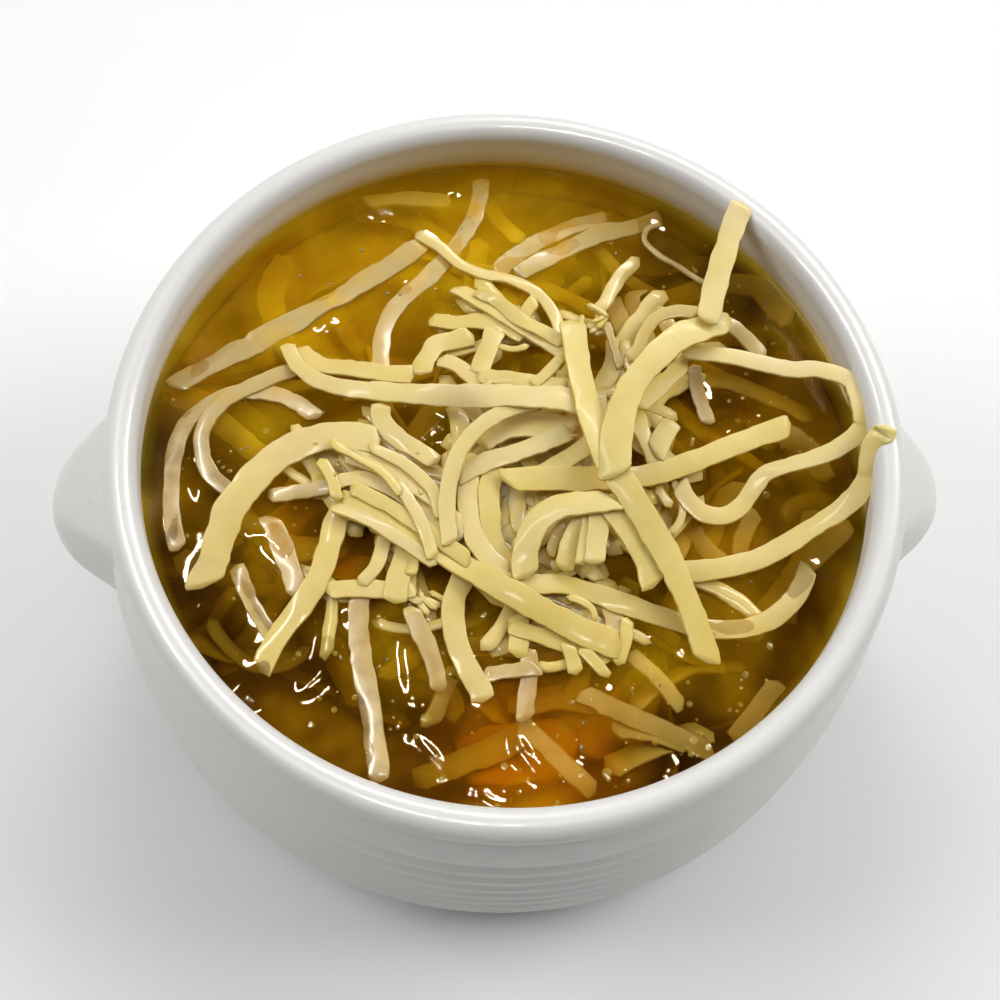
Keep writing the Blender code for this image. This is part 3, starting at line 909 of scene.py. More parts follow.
# %% Scattered shreds
# Middle, spread, heading and its drift in degrees, count, widths, lengths, height held.
MATS = [((-21, -1), (6, 4), -42, 16, 40, (1.6, 3.2), (12, 22), .5),
        ((-14, -9), (5, 4), -52, 14, 26, (1.6, 3.2), (12, 20), .4),
        ((-24, -18), (5, 4), -70, 25, 10, (1.6, 2.6), (10, 18), 0),
        ((0, -6), (4, 7), -78, 16, 26, (2.2, 3.8), (14, 26), .9),
        ((10, -12), (6, 5), -85, 30, 26, (2.2, 3.6), (10, 18), .8),
        ((14, 4), (5, 7), -75, 22, 26, (2.4, 4.0), (14, 26), 1.6),
        ((2, 6), (8, 4), 12, 20, 20, (2.4, 3.8), (12, 22), 1.2),
        ((0, 24), (8, 5), -35, 25, 22, (1.6, 3.0), (10, 20), .6),
        ((8, 14), (7, 3), 5, 25, 12, (2.0, 3.4), (12, 20), 1.2),
        ((2, -24), (9, 3.5), -30, 14, 26, (1.6, 3.2), (12, 22), .3),
        ((10, -30), (5, 2), -30, 14, 6, (1.6, 2.8), (12, 18), 0),
        ((25, -6), (3, 9), -70, 20, 8, (1.6, 2.8), (10, 18), 0),
        ((26, 18), (5, 5), 55, 22, 12, (2.0, 3.4), (12, 20), .8)]
HOLES = [(-24.5, -16, 3.2), (-14.5, 7.2, 4.2), (4.5, 18.4, 4.0), (17, 19.5, 2.2),
         (-4.5, -26.5, 3.2), (17.5, -19, 3.0), (-21, 24, 7), (21.5, 2, 1.6), (-32, 14, 6),
         (34, 8, 4), (-14, -18, 1.6)]
# The same columns again, for the tufts.
UNDER = [((16, 26.3), (1.4, 0.8), 60, 60, 8, (0.6, 1.2), (3, 6), 2.2),
         ((-12.5, -25), (1.8, 1.0), -30, 40, 6, (0.6, 1.4), (4, 7), 0.3)]


def stray(draw, middle, spread, heading, drift, length, held, step=STEP):
    """A random path about a middle and a heading, with a bend that grows along it, so that
    it curls like a shred."""
    count = max(6, int(length / 3))
    way = math.radians(draw.normal(heading, drift)) + np.cumsum(draw.normal(0, 0.12, count)
                                                                + draw.normal(0, 0.10))
    steps = np.stack([np.cos(way), np.sin(way)], -1) * length / count
    start = placed(np.array([middle], float), np.array([LEVEL + held]))[0, :2]
    flat = start + draw.normal(0, 1, 2) * spread + np.cumsum(steps, 0) - steps.sum(0) / 2
    return smooth_path(np.concatenate([flat, np.full((count, 1), LEVEL + held)], 1), step)


def in_hole(path):
    """Whether a path comes nearer to the middle of a hole than the hole's radius."""
    return any(np.hypot(path[:, 0] - x, path[:, 1] - y).min() < reach for x, y, reach in HOLES)


TUFT_THICKNESS, TUFT_SLOPE = 0.35, 0.34


def tuft(groups, draw):
    """Thin shreds about each group's middle, settled on what already lies there."""
    made = []
    for middle, spread, heading, drift, count, widths, lengths, held in groups:
        for _ in range(count):
            wide = draw.uniform(*widths)
            way = stray(draw, middle, spread, heading, drift, draw.uniform(*lengths), held)
            way = settle(way, wide, TUFT_THICKNESS, STEP, TUFT_SLOPE)
            press(way, wide, TUFT_THICKNESS)
            made.append(band(way, wide, draw.uniform(0.5, 0.8), draw, 0.05, draw.normal(0, 0.25),
                             12, draw.uniform(0.15, 0.4)))
    return made


MAT_STEP, MAT_THICKNESS = 1.1, 0.4
draw = np.random.default_rng(41)
matted, shreds, wet_strands = [], [], []
for middle, spread, heading, drift, count, widths, lengths, held in MATS:
    for _ in range(count):
        wide = draw.uniform(*widths)
        up = held + draw.uniform(-0.5, 0.6)
        way = stray(draw, middle, spread, heading, drift, draw.uniform(*lengths), up,
                    MAT_STEP)
        way[:, 2] += np.linspace(-1, 1, len(way)) * draw.normal(0, 0.35)
        if in_hole(way):
            continue
        press(way, wide, MAT_THICKNESS)
        matted.append(band(way, wide, draw.uniform(0.6, 0.9), draw, 0.05, draw.normal(0, 0.10),
                           8, draw.uniform(0.15, 0.4)))
shreds += tuft(UNDER, draw)
print("matted shreds", len(matted), "heap so far", round(float(heap_map.max()), 1), "mm")

# %% Listed strands
# Thickness while settling, share of the width drawn, and thickness drawn.
WET_FORM, DRY_FORM = (0.7, 0.96, 0.75), (0.5, 0.97, 0.62)
AFLOAT, LIFT, SINK = -0.95, 0.75, 0.2   # what lies above the first is lifted, the rest sinks
settled, share, thick = WET_FORM
for width, points in WET:
    lifted = [(x, y, up + LIFT if up > AFLOAT else up - SINK) for x, y, up in points]
    way = hero((width, lifted), settled)
    wet_strands.append(band(way, np.multiply(width, share), thick, draw, 0.05, 0.0, 16,
                            draw.uniform(0.2, 0.5)))
settled, share, thick = DRY_FORM
for width, points in DRY:
    way = hero((width, points), settled)
    shreds.append(band(way, np.multiply(width, share), thick, draw, 0.035,
                       draw.normal(0, 0.06), 16, draw.uniform(0.1, 0.35)))
print("heap top", round(float(heap_map.max()), 1), "mm")


# %% [markdown]
# ## Cheese
# Grated cheese is a pale waxy solid that lets a little light in, which softens its shadows. The
# grater leaves fine lines along each shred and a rough, crumbly edge, and no two shreds have
# quite the same yellow. Shreds that have lain in the broth are darker, pinker and shiny. Low in
# the heap, near the broth, the shreds are darker and deeper yellow, partly for broth they have
# soaked up and partly as painted shade under the shreds above.

# %% Cheese finishes
def cheese(name, pale, deep, gloss, wet, soak_and_shade, bathed=0.12):
    """Waxy cheese between a pale and a deep colour. Near the broth it turns towards a darker
    yellow, for soaking and as painted shade low in the heap, and below the broth's level it takes
    the broth's."""
    recipe = Recipe(name)
    tone = recipe.field("tone")
    patch = recipe.noise(5.0, 3.0)
    blend = (patch * 0.9 + tone * 0.28 + 0.05).held()
    colour = recipe.mix(blend, deep, pale)
    blush = (tone * 0.3 + recipe.noise(13.0, 1.0)).between(0.45, 0.85)
    colour = recipe.mix(blush * 0.45, colour, (0.80, 0.60, 0.34))
    grain = recipe.noise(0.55, 3.0, 0.6)
    lines = recipe.noise(0.5, 2.0, 0.5, grated(recipe))
    colour = recipe.mix(lines.between(0.35, 0.75) * 0.07, colour, wet)
    height = recipe.axis("Z")
    # Painted shade, with soaking: within 6 mm above the broth the shreds are darkened towards a
    # deeper yellow.
    soaked_and_shaded = 1.0 - height.between(LEVEL, LEVEL + 6.0)
    colour = recipe.mix(soaked_and_shaded * 0.55, colour, soak_and_shade)
    sunk = 1.0 - height.between(LEVEL - 0.2, LEVEL + 0.5)
    pooled = recipe.noise(4.5, 2.0).between(0.42, 0.72) * soaked_and_shaded * bathed
    colour = recipe.mix(pooled, colour, cloudy(recipe))
    colour = recipe.mix(sunk, colour, under_broth(recipe, colour))
    rough = grain * 0.8 + lines * 0.25
    return recipe.finish({
        "Base Color": colour,
        "Roughness": (gloss + grain * 0.18).held(),
        "Specular IOR Level": 0.16,
        "Subsurface Weight": 0.35,
        "Subsurface Radius": (1.0, 0.9, 0.75),
        "Subsurface Scale": 1.4 * MM,
        "Coat Weight": (sunk * 0.2 + soaked_and_shaded * 0.06 + 0.02).held(),
        "Coat Roughness": 0.12,
        "Normal": recipe.bump(rough, 0.35, 0.09)})


def grated(recipe):
    """Coordinates that run slowly along a strand and quickly across it, for fine lines."""
    return recipe.add("ShaderNodeMapping", {},
                      {"Vector": recipe.strand(), "Scale": (0.00035, 0.0022, 1.0)})


dry_cheese = cheese("dry_cheese", (0.82, 0.665, 0.235), (0.68, 0.505, 0.10), 0.45,
                    (0.86, 0.74, 0.38), (0.68, 0.475, 0.07))
wet_cheese = cheese("wet_cheese", (0.67, 0.52, 0.23), (0.54, 0.39, 0.11), 0.28,
                    (0.72, 0.58, 0.31), (0.55, 0.38, 0.10), 0.6)
make_piece("cheese_mat", joined(matted), dry_cheese, "cheese_heap")
make_piece("cheese_shreds", joined(shreds), dry_cheese, "cheese_heap")
make_piece("wet_strands", joined(wet_strands), wet_cheese, "cheese_heap")

# %% [markdown]
# ## Crumbs and the core
# Grating also makes crumbs, which catch in the tangle. Each is a short broken end of a shred, a
# small bent band. Under the middle of the heap the shreds mat together, and three low lumpy domes
# fill that mat, so that fewer gaps show straight through to the broth there.

# %% Crumbs
def angles(rows, columns, cap):
    """A ball's angles: down from its top, leaving out a cap at each end, and around."""
    return (np.linspace(cap, math.pi - cap, rows)[:, None],
            np.linspace(0, math.tau, columns, endpoint=False)[None])


def ball_rings(ring, around, height):
    """Rings of points from their radii, their angles around and their heights."""
    return np.stack(np.broadcast_arrays(ring * np.cos(around), ring * np.sin(around), height),
                    -1)


def spun(form, angle):
    """The points turned about the upright axis."""
    c, s = math.cos(angle), math.sin(angle)
    return form @ np.array([[c, s, 0], [-s, c, 0], [0, 0, 1]])


def somewhere(draw, least, reach):
    """A random place on a disc, as likely in one spot as in another, and its heading: the
    distance is the reach times the root of a number from least to 1."""
    far = math.sqrt(draw.uniform(least, 1)) * reach
    heading = draw.uniform(0, math.tau)
    return far * np.array([math.cos(heading), math.sin(heading)]), heading


def pebble(columns, rows, rough, draw):
    """A lumpy ball of unit radius: rings of a sphere, each point moved in or out."""
    down, around = angles(rows, columns, 0.35)
    ring = np.sin(down) * (1 + draw.normal(0, rough, (rows, columns)))
    return ball_rings(ring, around, np.cos(down))


def chip(place, size, draw):
    """A broken end of a shred: a band one to three times as long as it is wide, bent a
    little and turned any way."""
    heading, length = draw.uniform(0, math.tau), size * draw.uniform(1.0, 3.2)
    run = np.linspace(-0.5, 0.5, 8)[:, None] * length
    bend = draw.normal(0, 0.12) * run ** 2
    ahead = np.array([math.cos(heading), math.sin(heading), draw.normal(0, 0.35)])
    aside = np.array([-ahead[1], ahead[0], 0.0])
    return band(place + run * ahead + bend * aside, size, size * draw.uniform(0.4, 0.8), draw,
                0.10, draw.normal(0, 0.7), 8, 0.3)


crumbs = []
CRUMB_SPOTS = [((-24, -1), (4, 3), 2), ((-29.5, -1.5), (1.4, 2.0), 2),
               ((13, -31.5), (3, 1.6), 3), ((4, 2), (13, 12), 5), ((-13, -4), (3, 3), 2)]
for centre, spread, count in CRUMB_SPOTS:
    for _ in range(count):
        spot = np.array(centre) + draw.normal(0, 1, 2) * spread
        size = min(0.9, draw.gamma(3.0, 0.1) + 0.25)
        base = heap_map[cells(spot)]
        crumbs.append(chip(np.append(spot, min(base + size * 0.15, TOP - 2.0)), size, draw))
make_piece("cheese_crumbs", joined(crumbs), dry_cheese, "cheese_heap")


# %% Core of the heap
def dome(centre, radii, rise, seed, rows=16, columns=48, base=LEVEL + 0.2, lumps=0.4):
    """A low dome over a lumpy outline, closed underneath: the height falls with the square
    of the distance from the middle, plus a random field."""
    share = np.concatenate([np.linspace(0.02, 1, rows), np.linspace(0.95, 0.02, rows // 2)])
    under = np.concatenate([np.zeros(rows), np.ones(rows // 2)])
    around = np.linspace(0, math.tau, columns, endpoint=False)
    edge = 1 + 0.10 * np.cos(3 * around + 1.0) + 0.06 * np.cos(5 * around + 0.4)
    x = centre[0] + share[:, None] * edge * radii[0] * np.cos(around)
    y = centre[1] + share[:, None] * edge * radii[1] * np.sin(around)
    top = (base + rise * (1 - share[:, None] ** 2)
           + lumps * waves(x, y, 5.0, seed) * (1 - share[:, None]))
    z = np.where(under[:, None] > 0, base - 0.8, top)
    return closed_tube(np.stack([x, y, z], -1))


core = joined([dome((-20, -2.5), (8.5, 5.5), 1.2, 8), dome((-5.5, -9), (4.0, 8.0), 1.6, 9),
               dome((14, 5), (6.5, 9.0), 3.6, 10)])
core["along"] *= 0.0            # a core isn't a strand, so it takes no grater's lines
# Painted shade: the core's cheese colours are made deeper and more golden than the dry shreds',
# for the warm shade in the gaps of the heap where the core shows.
matted_cheese_and_shade = cheese("matted_cheese_and_shade", (0.84, 0.62, 0.18), (0.74, 0.50, 0.09), 0.5,
                       (0.82, 0.66, 0.26), (0.72, 0.47, 0.07))
make_piece("cheese_core", core, matted_cheese_and_shade, "cheese_heap")

# %% [markdown]
# ## Onion and carrot in the broth
# Sliced onion cooks down to soft, see-through strips that hang at every depth. They are
# the same bands as the shreds, a little thicker and gently curled, because an onion is
# sliced across its layers. The deeper ones are only a pale shape in the brown.

# %% Sunken strips
def sunken(recipe_name, pale, deep, rough, edge=1.0):
    """Something that hangs in the broth: its colour seen through broth, fading into the
    cloudy broth towards the sides of the band."""
    recipe = Recipe(recipe_name)
    vein = recipe.noise(0.5, 2.0, 0.5, grated(recipe))
    patch = recipe.noise(6.0, 2.0)
    blend = (patch * 0.8 + recipe.field("tone") * 0.3 + 0.1).held()
    colour = recipe.mix(blend, deep, pale)
    colour = recipe.mix(vein.between(0.4, 0.7) * 0.3, colour, pale)
    across = recipe.add("ShaderNodeSeparateXYZ", {}, {0: recipe.strand()}, output="Y")
    thin = (across * across).between(0.1, 0.95) * edge
    colour = recipe.mix(thin, under_broth(recipe, colour), cloudy(recipe))
    return recipe.finish({
        "Base Color": colour,
        "Roughness": (rough + patch * 0.1).held(),
        "Specular IOR Level": 0.0,
        "Normal": recipe.bump(vein, 0.4, 0.2)})


draw = np.random.default_rng(77)
strips = []
STRIPS, STRIP_POINTS, STRIP_REACH = 110, 8, 56
for _ in range(STRIPS):
    middle, heading = somewhere(draw, 0.02, STRIP_REACH)
    length = draw.uniform(12, 38)
    drop = draw.uniform(3.2, 9.5)
    turn = heading + math.pi / 2 + draw.normal(0, 0.9)
    turn = turn + np.cumsum(draw.normal(0, 0.14, STRIP_POINTS) + draw.normal(0, 0.16))
    run = np.cumsum(np.stack([np.cos(turn), np.sin(turn)], -1) * length / STRIP_POINTS, 0)
    flat = middle + run - run.mean(0)
    tilt = np.linspace(-1, 1, STRIP_POINTS) * draw.normal(0, 1.2)
    way = smooth_path(np.concatenate([flat, (LEVEL - drop + tilt)[:, None]], 1), 1.2)
    way[:, 2] = np.minimum(way[:, 2], LEVEL - 1.0)
    way = kept_inside(way, 2.0)
    strips.append(band(way, draw.uniform(2.2, 4.6), 0.9, draw, 0.05, draw.normal(0, 0.5), 8))
onion = sunken("onion_strip", (0.95, 0.78, 0.34), (0.84, 0.58, 0.16), 0.35)
make_piece("onion_strips", joined(strips), onion, "soup")

SUNKEN = [
    (3.2, [(.2, -44.5, -1.6), (4.5, -48.7, -1.8), (8.2, -52.8, -2.1), (11.4, -55.9, -2.6)]),
    (3.4, [(10, -39.7, -1.2), (15.8, -43, -1.5), (22.6, -46.2, -1.8), (30.3, -50, -2.2)]),
    (3.0, [(14.6, -46, -2), (21.5, -47.2, -2.2), (26.3, -49.4, -2.6)]),
    (3.4, [(41.6, -38.6, -1.8), (37.5, -43.6, -2), (33.5, -48.1, -2.4)]),
    (3.0, [(-14.2, -45.1, -2.4), (-12.1, -41.1, -2), (-10.5, -37, -1.6)]),
    (2.6, [(18, -33.5, -1), (22.5, -38, -1.4), (26, -43, -1.8)]),
    (3.4, [(-24, 51.5, -2), (-17, 52.4, -1.8), (-8, 51.8, -2.2)]),
    (3.2, [(24, 27.5, -1.2), (23.5, 31.5, -1.4), (25, 33.5, -1.6)]),
    (3.4, [(19.5, 32, -1.4), (21, 27, -1.2), (22, 23, -1)]),
    (3.0, [(30, -12, -1.4), (33, -17, -1.8), (38, -21, -2.4)]),
    (3.2, [(41, -9, -1.6), (38, -15, -2), (37, -20, -2.6)]),
    (4.0, [(46, 6, -2), (51, 2, -2.4), (54, -4, -3)]),
]
near_strips = []
for width, points in SUNKEN:
    seen = smooth_path(np.array(points, float), STEP)
    way = kept_inside(placed(seen, LEVEL + seen[:, 2]), 2.0)
    near_strips.append(band(way, width, 1.1, draw, 0.05, draw.normal(0, 0.2)))
pale_onion = sunken("pale_onion", (0.84, 0.66, 0.30), (0.72, 0.50, 0.16), 0.3)
make_piece("near_onion_strips", joined(near_strips), pale_onion, "soup")

# %% Carrot
def block(middle, size, angle, seed):
    """A soft-edged block: a sphere's rings with each coordinate raised to the power 0.5,
    which squares it, then stretched, turned and roughened."""
    down, around = angles(22, 40, 0.05)
    ball = ball_rings(np.sin(down), around, np.cos(down))
    form = np.sign(ball) * np.abs(ball) ** 0.5 * np.array(size) / 2
    form *= (1 + 0.05 * waves(form[..., 0], form[..., 1] + form[..., 2], 4.0, seed))[..., None]
    return closed_tube(spun(form, angle) + np.array(middle))


carrots = joined([block((0.5, -47.5, LEVEL - 7.6), (19, 11, 5), 0.15, 3),
                  block((12.0, -43.0, LEVEL - 8.2), (10, 9, 4), -0.5, 4),
                  block((-36.0, -6.0, LEVEL - 7.0), (9, 6, 4), 0.8, 5),
                  block((-25.0, -16.0, LEVEL - 6.8), (10, 6, 4), -0.2, 6)])
carrot = sunken("carrot", (0.86, 0.24, 0.01), (0.70, 0.14, 0.005), 0.5, 0.0)
make_piece("carrot_pieces", carrots, carrot, "soup")

# %% [markdown]
# ## Broth
# The broth is two pieces. Its body is cloudy with cooked onion, so past about a centimetre
# nothing is told apart: a rough brown floor stands for that, patchy with amber where the
# light gets in. Over it lies the surface, a thin sheet that mostly lets things through and
# shines. It is not flat: it climbs the wall and every strand that breaks it, and dimples
# between, which is what scatters the lamps into short bright marks.

# %% Body of the broth
def broth_body():
    """Rough and lumpy cloudy broth, without any shine."""
    recipe = Recipe("cloudy_broth")
    small = recipe.noise(5.5, 3.0, 0.6)
    return recipe.finish({"Base Color": cloudy(recipe), "Roughness": 0.75 + small * 0.2,
                          "Specular IOR Level": 0.0,
                          "Normal": recipe.bump(small, 0.5, 1.5)})


def murk_shape(columns=160, depth=10.5):
    """The lumpy top of the cloudy broth from the middle out, then down beside the wall and
    back to the middle above the bowl's floor."""
    share = np.linspace(0.02, 1, 46)[:, None]
    around = np.linspace(0, math.tau, columns, endpoint=False)[None]
    reach = inside_radius(LEVEL - depth) - GAP
    x, y = share * reach * np.cos(around), share * reach * np.sin(around)
    z = LEVEL - depth + 1.1 * waves(x, y, 14.0, 5) * (1 - share ** 6)
    top = np.stack([x, y, z], -1)
    low = arc((BELLY_RADIUS - WALL - GAP - CORNER_WIDE, FLOOR_Z + GAP + CORNER_HIGH),
              (CORNER_WIDE, CORNER_HIGH), -10, -90, 12)
    floor = np.stack([np.linspace(low[-1, 0] - 4, 1, 6), np.full(6, low[-1, 1])], -1)
    return closed_tube(np.concatenate([top, turned(np.concatenate([low, floor]), columns)]))


make_piece("broth_body", murk_shape(), broth_body(), "soup")

# %% [markdown]
# The surface is a disc of fine rings. Its height is the level plus slow ripples, a climb
# at the wall that falls off within two millimetres, and a similar one beside each strand
# that floats, read from a map of how near the strands are.

# %% Surface of the broth
def swept_map(paths, width):
    """A map that is 1 under floating strands and falls off around them: each path point
    marks its cell, and a bell-shaped blur spreads the marks."""
    marks = np.zeros_like(heap_map)
    for path, wide in paths:
        marks[cells(footprint(path, wide * 1.1))] = 1.0
    reach = np.fft.fftfreq(len(marks), CELL)
    falloff = np.exp(-2 * (math.pi * width) ** 2 * (reach[:, None] ** 2 + reach[None] ** 2))
    return np.real(np.fft.ifft2(np.fft.fft2(marks) * falloff))


def read_map(values, x, y):
    """The map's value at each point, weighted from the four cells around it."""
    column, row = (x + SPAN) / CELL - 0.5, (y + SPAN) / CELL - 0.5
    i, j = np.floor(row).astype(int), np.floor(column).astype(int)
    v, u = row - i, column - j
    return (values[i, j] * (1 - u) * (1 - v) + values[i, j + 1] * u * (1 - v)
            + values[i + 1, j] * (1 - u) * v + values[i + 1, j + 1] * u * v)


# Short raised lines in the surface: two ends and a strength.
RIDGES = [(-16.7, -45.8, -13.8, -49.1, .7), (-13.8, -49.1, -11.4, -51.8, .7),
          (-17.2, -30.2, -16.4, -35.8, .5), (-16.4, -35.8, -16, -40.4, .5),
          (-.4, -46.3, .3, -49, .7), (.3, -49, 3.2, -52.6, .7), (-6.6, -54.1, -5.8, -56.4, .5),
          (-5.8, -56.4, -2.9, -57.6, .5), (-2.9, -57.6, 0, -57.2, .4),
          (22.8, -49.3, 24, -52.8, .5), (-42.9, -39.1, -40.5, -39.7, .5),
          (-29.2, -29.1, -30.1, -35.4, .7), (-30.1, -35.4, -33.4, -38.6, .7),
          (-42, -11.4, -38.6, -11.8, .5), (-51.5, -2, -49.8, -5, .3),
          (-21, 52.6, -21, 50.8, .7), (-21, 50.8, -19.4, 50, .7), (-8.4, 55.4, -6, 55.2, .7),
          (-6, 55.2, -2, 58, .3), (17, 54.6, 22, 52, .7), (22, 52, 29, 49.6, .7),
          (29, 49.6, 33, 46, .5), (33, 46, 38.6, 41, .3), (-24, 30.5, -17, 36, .25),
          (-31, 27, -29, 27.6, .6), (-26.9, 50.2, -35.8, 44.1, .4), (-35.8, 44.1, -45, 36, .4),
          (-13.8, 5, -11.6, 8.8, .8), (-11.6, 8, -10.2, 5.4, .8),
          (-15.8, -20.4, -13.8, -20.6, .4), (26.3, -30.8, 27.8, -33, .4),
          (21.6, -30.2, 23, -29.2, .3), (9.6, -48.6, 11, -50, .3), (14.6, -37.6, 16.4, -38, .3),
          (-5.8, -33.2, -4.4, -32.8, .3), (31, 9.2, 33, 9.8, .4), (15, 29.6, 17, 29.8, .4),
          (36.4, -11.4, 37.4, -12, .3), (-36, -15.5, -39, -13.5, .3)]
RIDGE_POINTS = 40
floating = [(smooth_path(placed(np.array(points, float), LEVEL + np.array(points)[:, 2]), STEP),
             max(np.ravel(width))) for width, points in WET + DRY]
floating = [(path[path[:, 2] < LEVEL + 1.4], width) for path, width in floating]
floating = [(path, width) for path, width in floating if len(path) > 3]
climb = 0.5 * np.clip(swept_map(floating, 1.0), 0, 1)
for x0, y0, x1, y1, height in RIDGES:
    run = np.linspace(0, 1, RIDGE_POINTS)[:, None]
    line = np.concatenate([np.array([x0, y0]) * (1 - run) + np.array([x1, y1]) * run,
                           np.zeros((RIDGE_POINTS, 1))], 1)
    ridge = swept_map([(line, 0.6)], 1.0)
    climb += (0.34 + 0.5 * height) * ridge / ridge.max()


def rippled(x, y):
    """The slow swell of the surface, and a finer one on it."""
    return 0.09 * waves(x, y, 14.0, 21) + 0.025 * waves(x, y, 6.0, 22)


rings, spokes = 150, 600
share = (np.linspace(0.01, 1, rings) ** 0.85)[:, None]
around = np.linspace(0, math.tau, spokes, endpoint=False)[None]
reach = inside_radius(LEVEL + 0.6) + 0.25
x, y = share * reach * np.cos(around), share * reach * np.sin(around)
wall_gap = reach - share * reach
ripple = rippled(x, y)
z = LEVEL + ripple * np.clip(wall_gap / 3, 0, 1) + 0.4 * np.exp(-wall_gap / 0.8)
z = z + read_map(climb, x, y)
surface_points = np.concatenate([np.stack([x, y, z], -1).reshape(-1, 3), [[0, 0, LEVEL]]])
middle = rings * spokes
fan = np.stack([np.full(spokes, middle), np.arange(spokes),
                (np.arange(spokes) + 1) % spokes], -1)
surface = shape(surface_points, grid_quads(rings, spokes)[:, ::-1], fan,
                surface_points[:, :2], 0.0)


def broth_surface():
    """A shiny see-through sheet, which covers more where it is hazy and ends in a yellow margin
    by the wall: oil, made brighter as a painted reflection of the white wall."""
    recipe = Recipe("broth_surface")
    haze = recipe.noise(9.0, 3.0, 0.6)
    cover = 0.24 + haze.between(0.45, 0.75) * 0.22
    fine = recipe.noise(3.4, 1.0)
    x, y = recipe.axis("X"), recipe.axis("Y")
    # Painted reflection, with oil: a bright yellow margin by the wall stands for the white wall
    # reflected in a ring of oil.
    oil_and_reflection_margin = ((x * x + y * y) ** 0.5).between(58.2, 60.4) * (0.5 + haze * 0.6)
    return recipe.finish({
        "Base Color": recipe.mix(oil_and_reflection_margin.held(), cloudy(recipe), (0.66, 0.49, 0.006)),
        "Roughness": (0.03 + haze * 0.03 + oil_and_reflection_margin * 0.3).held(),
        "IOR": 1.48, "Specular Tint": (1.0, 0.80, 0.42),
        "Coat Weight": (1.0 - oil_and_reflection_margin).held() * 0.4,
        "Coat Roughness": 0.015,
        "Alpha": (cover + oil_and_reflection_margin * 0.05).held(),
        "Normal": recipe.bump(fine, 0.15, 0.06)})


sheet = make_piece("broth_surface", surface, broth_surface(), "soup")
normals = np.zeros(len(sheet.data.polygons) * 3, np.float32)
sheet.data.polygons.foreach_get("normal", normals)
print("share of the surface facing up", float((normals[2::3] > 0).mean()))

# %% [markdown]
# ## Oil and herbs
# Melted fat floats as flat round drops, which gather in clusters and along the wall, and
# each one shines on its own. Between them lie specks of dried herb. Both are scattered by
# draw. The drops are copies of one small form, each fleck has a form of its own, and none
# has more than a few dozen quads.

# %% Drops and flecks
def cap_form(columns, rows):
    """A flat dome of unit radius, closed by a shallow bowl below."""
    down, around = angles(rows, columns, 0.12)
    return ball_rings(np.sin(down), around, np.cos(down) * np.where(np.cos(down) > 0, 1.0, 0.5))


def surface_height(x, y):
    """The broth's height at a place: its level, its ripples and its climb by a strand."""
    return LEVEL + rippled(x, y) + read_map(climb, x, y)


CLEAR_OF_CHEESE = LEVEL + 0.3   # where the height map is higher, a shred is in the way
draw = np.random.default_rng(90)
drops = []
DROP_REACH, FLECK_REACH = 58.5, 58
DROP_GROUPS = [((-42, -13), 5, 22), ((-48, 5), 5, 14), ((-10, 33), 6, 14), ((40, 8), 6, 40),
               ((30, -36), 8, 30), ((20, -48), 7, 26), ((-20, -40), 9, 40), ((0, -50), 8, 30),
               ((42, 30), 6, 26), ((0, 0), 34, 150)]
drop_form = cap_form(12, 5)
for centre, spread, count in DROP_GROUPS:
    spots = np.array(centre) + draw.normal(0, 1, (count, 2)) * spread
    spots = spots[np.linalg.norm(spots, axis=1) < DROP_REACH]
    for spot in spots:
        size = min(1.0, draw.gamma(2.0, 0.12) + 0.09)
        z = float(surface_height(spot[0], spot[1]))
        if heap_map[cells(spot)] > CLEAR_OF_CHEESE:
            continue
        form = drop_form * np.array([size, size, 0.05 + size * 0.12])
        drops.append(closed_tube(form + np.array([spot[0], spot[1], z + 0.04]),
                                 draw.uniform(-1, 1)))
print("drops", len(drops))


def oil():
    """Shiny see-through fat, with a shade for each drop."""
    recipe = Recipe("oil")
    tone = recipe.field("tone")
    colour = recipe.mix((tone * 0.5 + 0.5).held(), (0.55, 0.34, 0.02), (0.74, 0.52, 0.05))
    return recipe.finish({
        "Base Color": colour, "Roughness": 0.03 + recipe.noise(3.0) * 0.02,
        "Specular IOR Level": 0.5, "Coat Weight": 0.3, "Coat Roughness": 0.02,
        "Alpha": (0.20 + recipe.noise(4.0) * 0.14).held()})


make_piece("oil_drops", joined(drops), oil(), "soup")

FLECKS = 60
flecks = []
for _ in range(FLECKS):
    spot, heading = somewhere(draw, 0.05, FLECK_REACH)
    if heap_map[cells(spot)] > CLEAR_OF_CHEESE:
        continue
    base = float(surface_height(spot[0], spot[1]))
    form = pebble(6, 4, 0.25, draw) * draw.uniform(0.15, 0.34) * np.array([1.5, 0.8, 0.25])
    form = spun(form, draw.uniform(0, math.tau))
    flecks.append(closed_tube(form + np.append(spot, min(base, TOP - 1)), draw.uniform(-1, 1)))


def herb():
    """Dried leaf, from dark green to brown, with a shade for each fleck."""
    recipe = Recipe("dried_herb")
    blend = (recipe.field("tone") * 0.5 + 0.5).held()
    colour = recipe.mix(blend, (0.10, 0.10, 0.012), (0.26, 0.14, 0.02))
    leaf = recipe.noise(0.4, 2.0)
    return recipe.finish({"Base Color": recipe.mix(leaf * 0.3, colour, (0.16, 0.17, 0.03)),
                          "Roughness": 0.5 + leaf * 0.2,
                          "Normal": recipe.bump(leaf, 0.5, 0.1)})


make_piece("herb_flecks", joined(flecks), herb(), "soup")

# %% [markdown]
# ## Table, light and camera
# The floor is a plain pale sheet. Soft light comes from above, behind and both sides, so
# the near outside wall is in shade and the rim is bright, and the room fills in the rest. Three
# narrow strips show only in reflections, and give the broth its sharp bright marks. The
# camera looks down over the near edge, a little turned and tipped, as a phone is held.

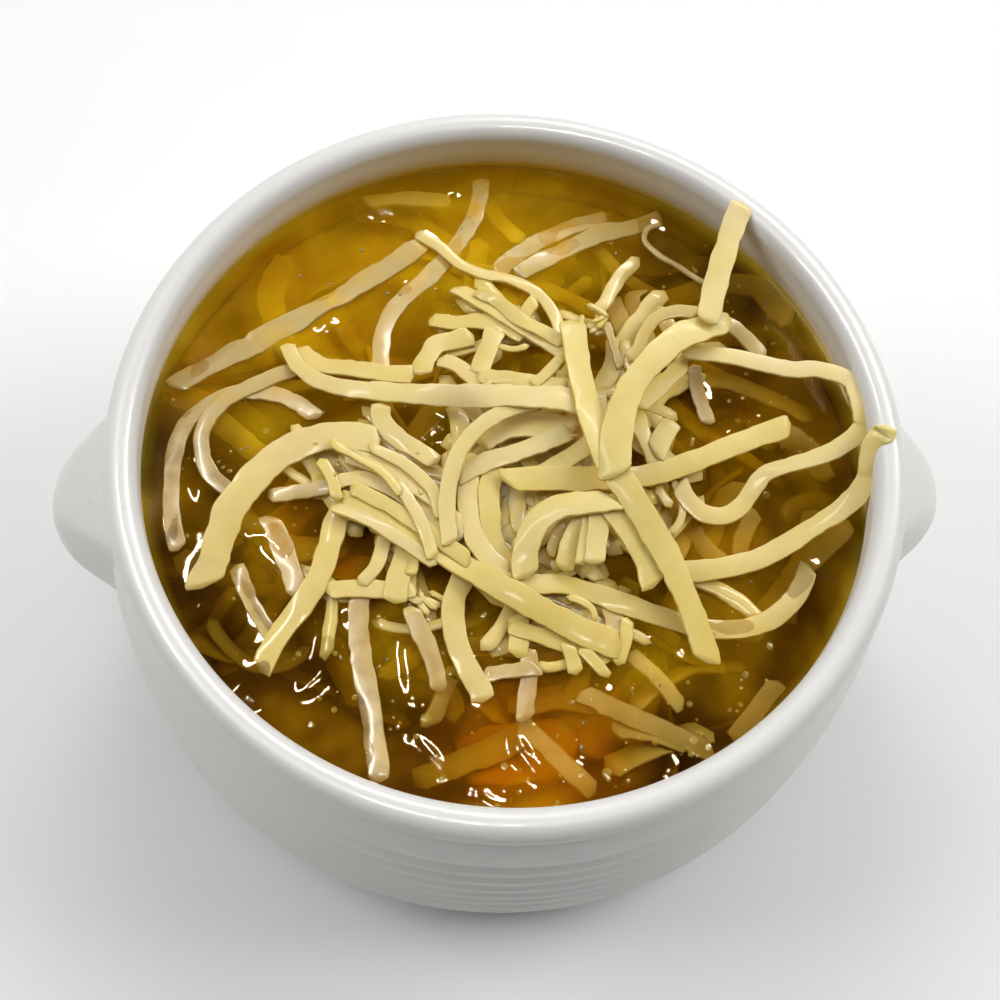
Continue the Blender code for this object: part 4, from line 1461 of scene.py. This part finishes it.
# %% Floor
def floor_finish():
    """A pale matt sheet, very slightly cloudy."""
    recipe = Recipe("pale_floor")
    cloud = recipe.noise(90.0, 2.0)
    colour = recipe.mix(cloud, (0.87, 0.87, 0.865), (0.91, 0.91, 0.905))
    return recipe.finish({"Base Color": colour, "Roughness": 0.7 + cloud * 0.1,
                          "Specular IOR Level": 0.2})


half = 1.5                      # of the floor's side, in metres
floor_mesh = bpy.data.meshes.new("floor")
floor_mesh.from_pydata([(-half, -half, 0), (half, -half, 0), (half, half, 0), (-half, half, 0)],
                       [], [(0, 1, 2, 3)])
floor_mesh.materials.append(floor_finish())
floor = bpy.data.objects.new("floor", floor_mesh)
bpy.context.scene.collection.objects.link(floor)


# %% Lights
def aimed(location, target, roll=0.0):
    """A placing matrix whose minus Z points from the location to the target."""
    ahead = (Vector(target) - Vector(location)).normalized()
    right = ahead.cross(Vector((0, 0, 1))).normalized()
    up = right.cross(ahead)
    tilted = right * math.cos(roll) + up * math.sin(roll)
    upright = up * math.cos(roll) - right * math.sin(roll)
    axes = Matrix((tilted, upright, -ahead)).transposed().to_4x4()
    return Matrix.Translation(location) @ axes


BROTH_MIDDLE = (0, 0, 0.05)     # in metres


def softbox(name, azimuth, elevation, distance, size, power, colour=(1, 1, 1)):
    """A lamp of a given width and height on a sphere round the bowl, facing it."""
    flat, turn = math.radians(elevation), math.radians(azimuth)
    place = (distance * math.cos(flat) * math.cos(turn),
             distance * math.cos(flat) * math.sin(turn),
             distance * math.sin(flat) + BROTH_MIDDLE[2])
    light = bpy.data.lights.new(name, "AREA")
    light.shape = "RECTANGLE"
    light.size, light.size_y = size
    light.energy = power
    light.color = colour
    lamp = bpy.data.objects.new(name, light)
    lamp.matrix_world = aimed(place, BROTH_MIDDLE)
    bpy.context.scene.collection.objects.link(lamp)
    return lamp


for place in [("sky_box", 95, 78, 1.5, (1.7, 1.7), 6.5),
              ("left_box", 168, 40, 1.2, (0.6, 0.6), 5.6),
              ("right_box", 12, 40, 1.2, (0.6, 0.6), 7.4),
              ("back_box", 92, 34, 1.3, (0.6, 0.5), 4.8)]:
    softbox(*place).visible_glossy = False
warm = (1.0, 0.97, 0.92)
for place in [("right_spark", 55, 41, 1.0, (0.8, 0.07), 38.0, warm),
              ("left_spark", 152, 62, 1.0, (0.40, 0.06), 18.0, warm),
              ("near_spark", -112, 84, 1.0, (0.24, 0.07), 11.0, warm)]:
    softbox(*place).visible_diffuse = False

world = bpy.data.worlds.new("room")
world.use_nodes = True
world.node_tree.nodes["Background"].inputs["Color"].default_value = (1.0, 0.985, 0.96, 1.0)
world.node_tree.nodes["Background"].inputs["Strength"].default_value = 0.085
bpy.context.scene.world = world
bpy.context.scene.view_settings.view_transform = "Standard"

# %% Camera
AIM, TILT = (-0.0014, -0.0067, 0.050), 7.9      # in metres, and in degrees
lens = bpy.data.cameras.new("camera")
lens.lens = 57.0
lens.sensor_width = 36.0
lens.clip_start = 0.01
camera = bpy.data.objects.new("camera", lens)
camera.matrix_world = aimed(tuple(EYE * MM), AIM, math.radians(TILT))
bpy.context.scene.collection.objects.link(camera)
bpy.context.scene.camera = camera
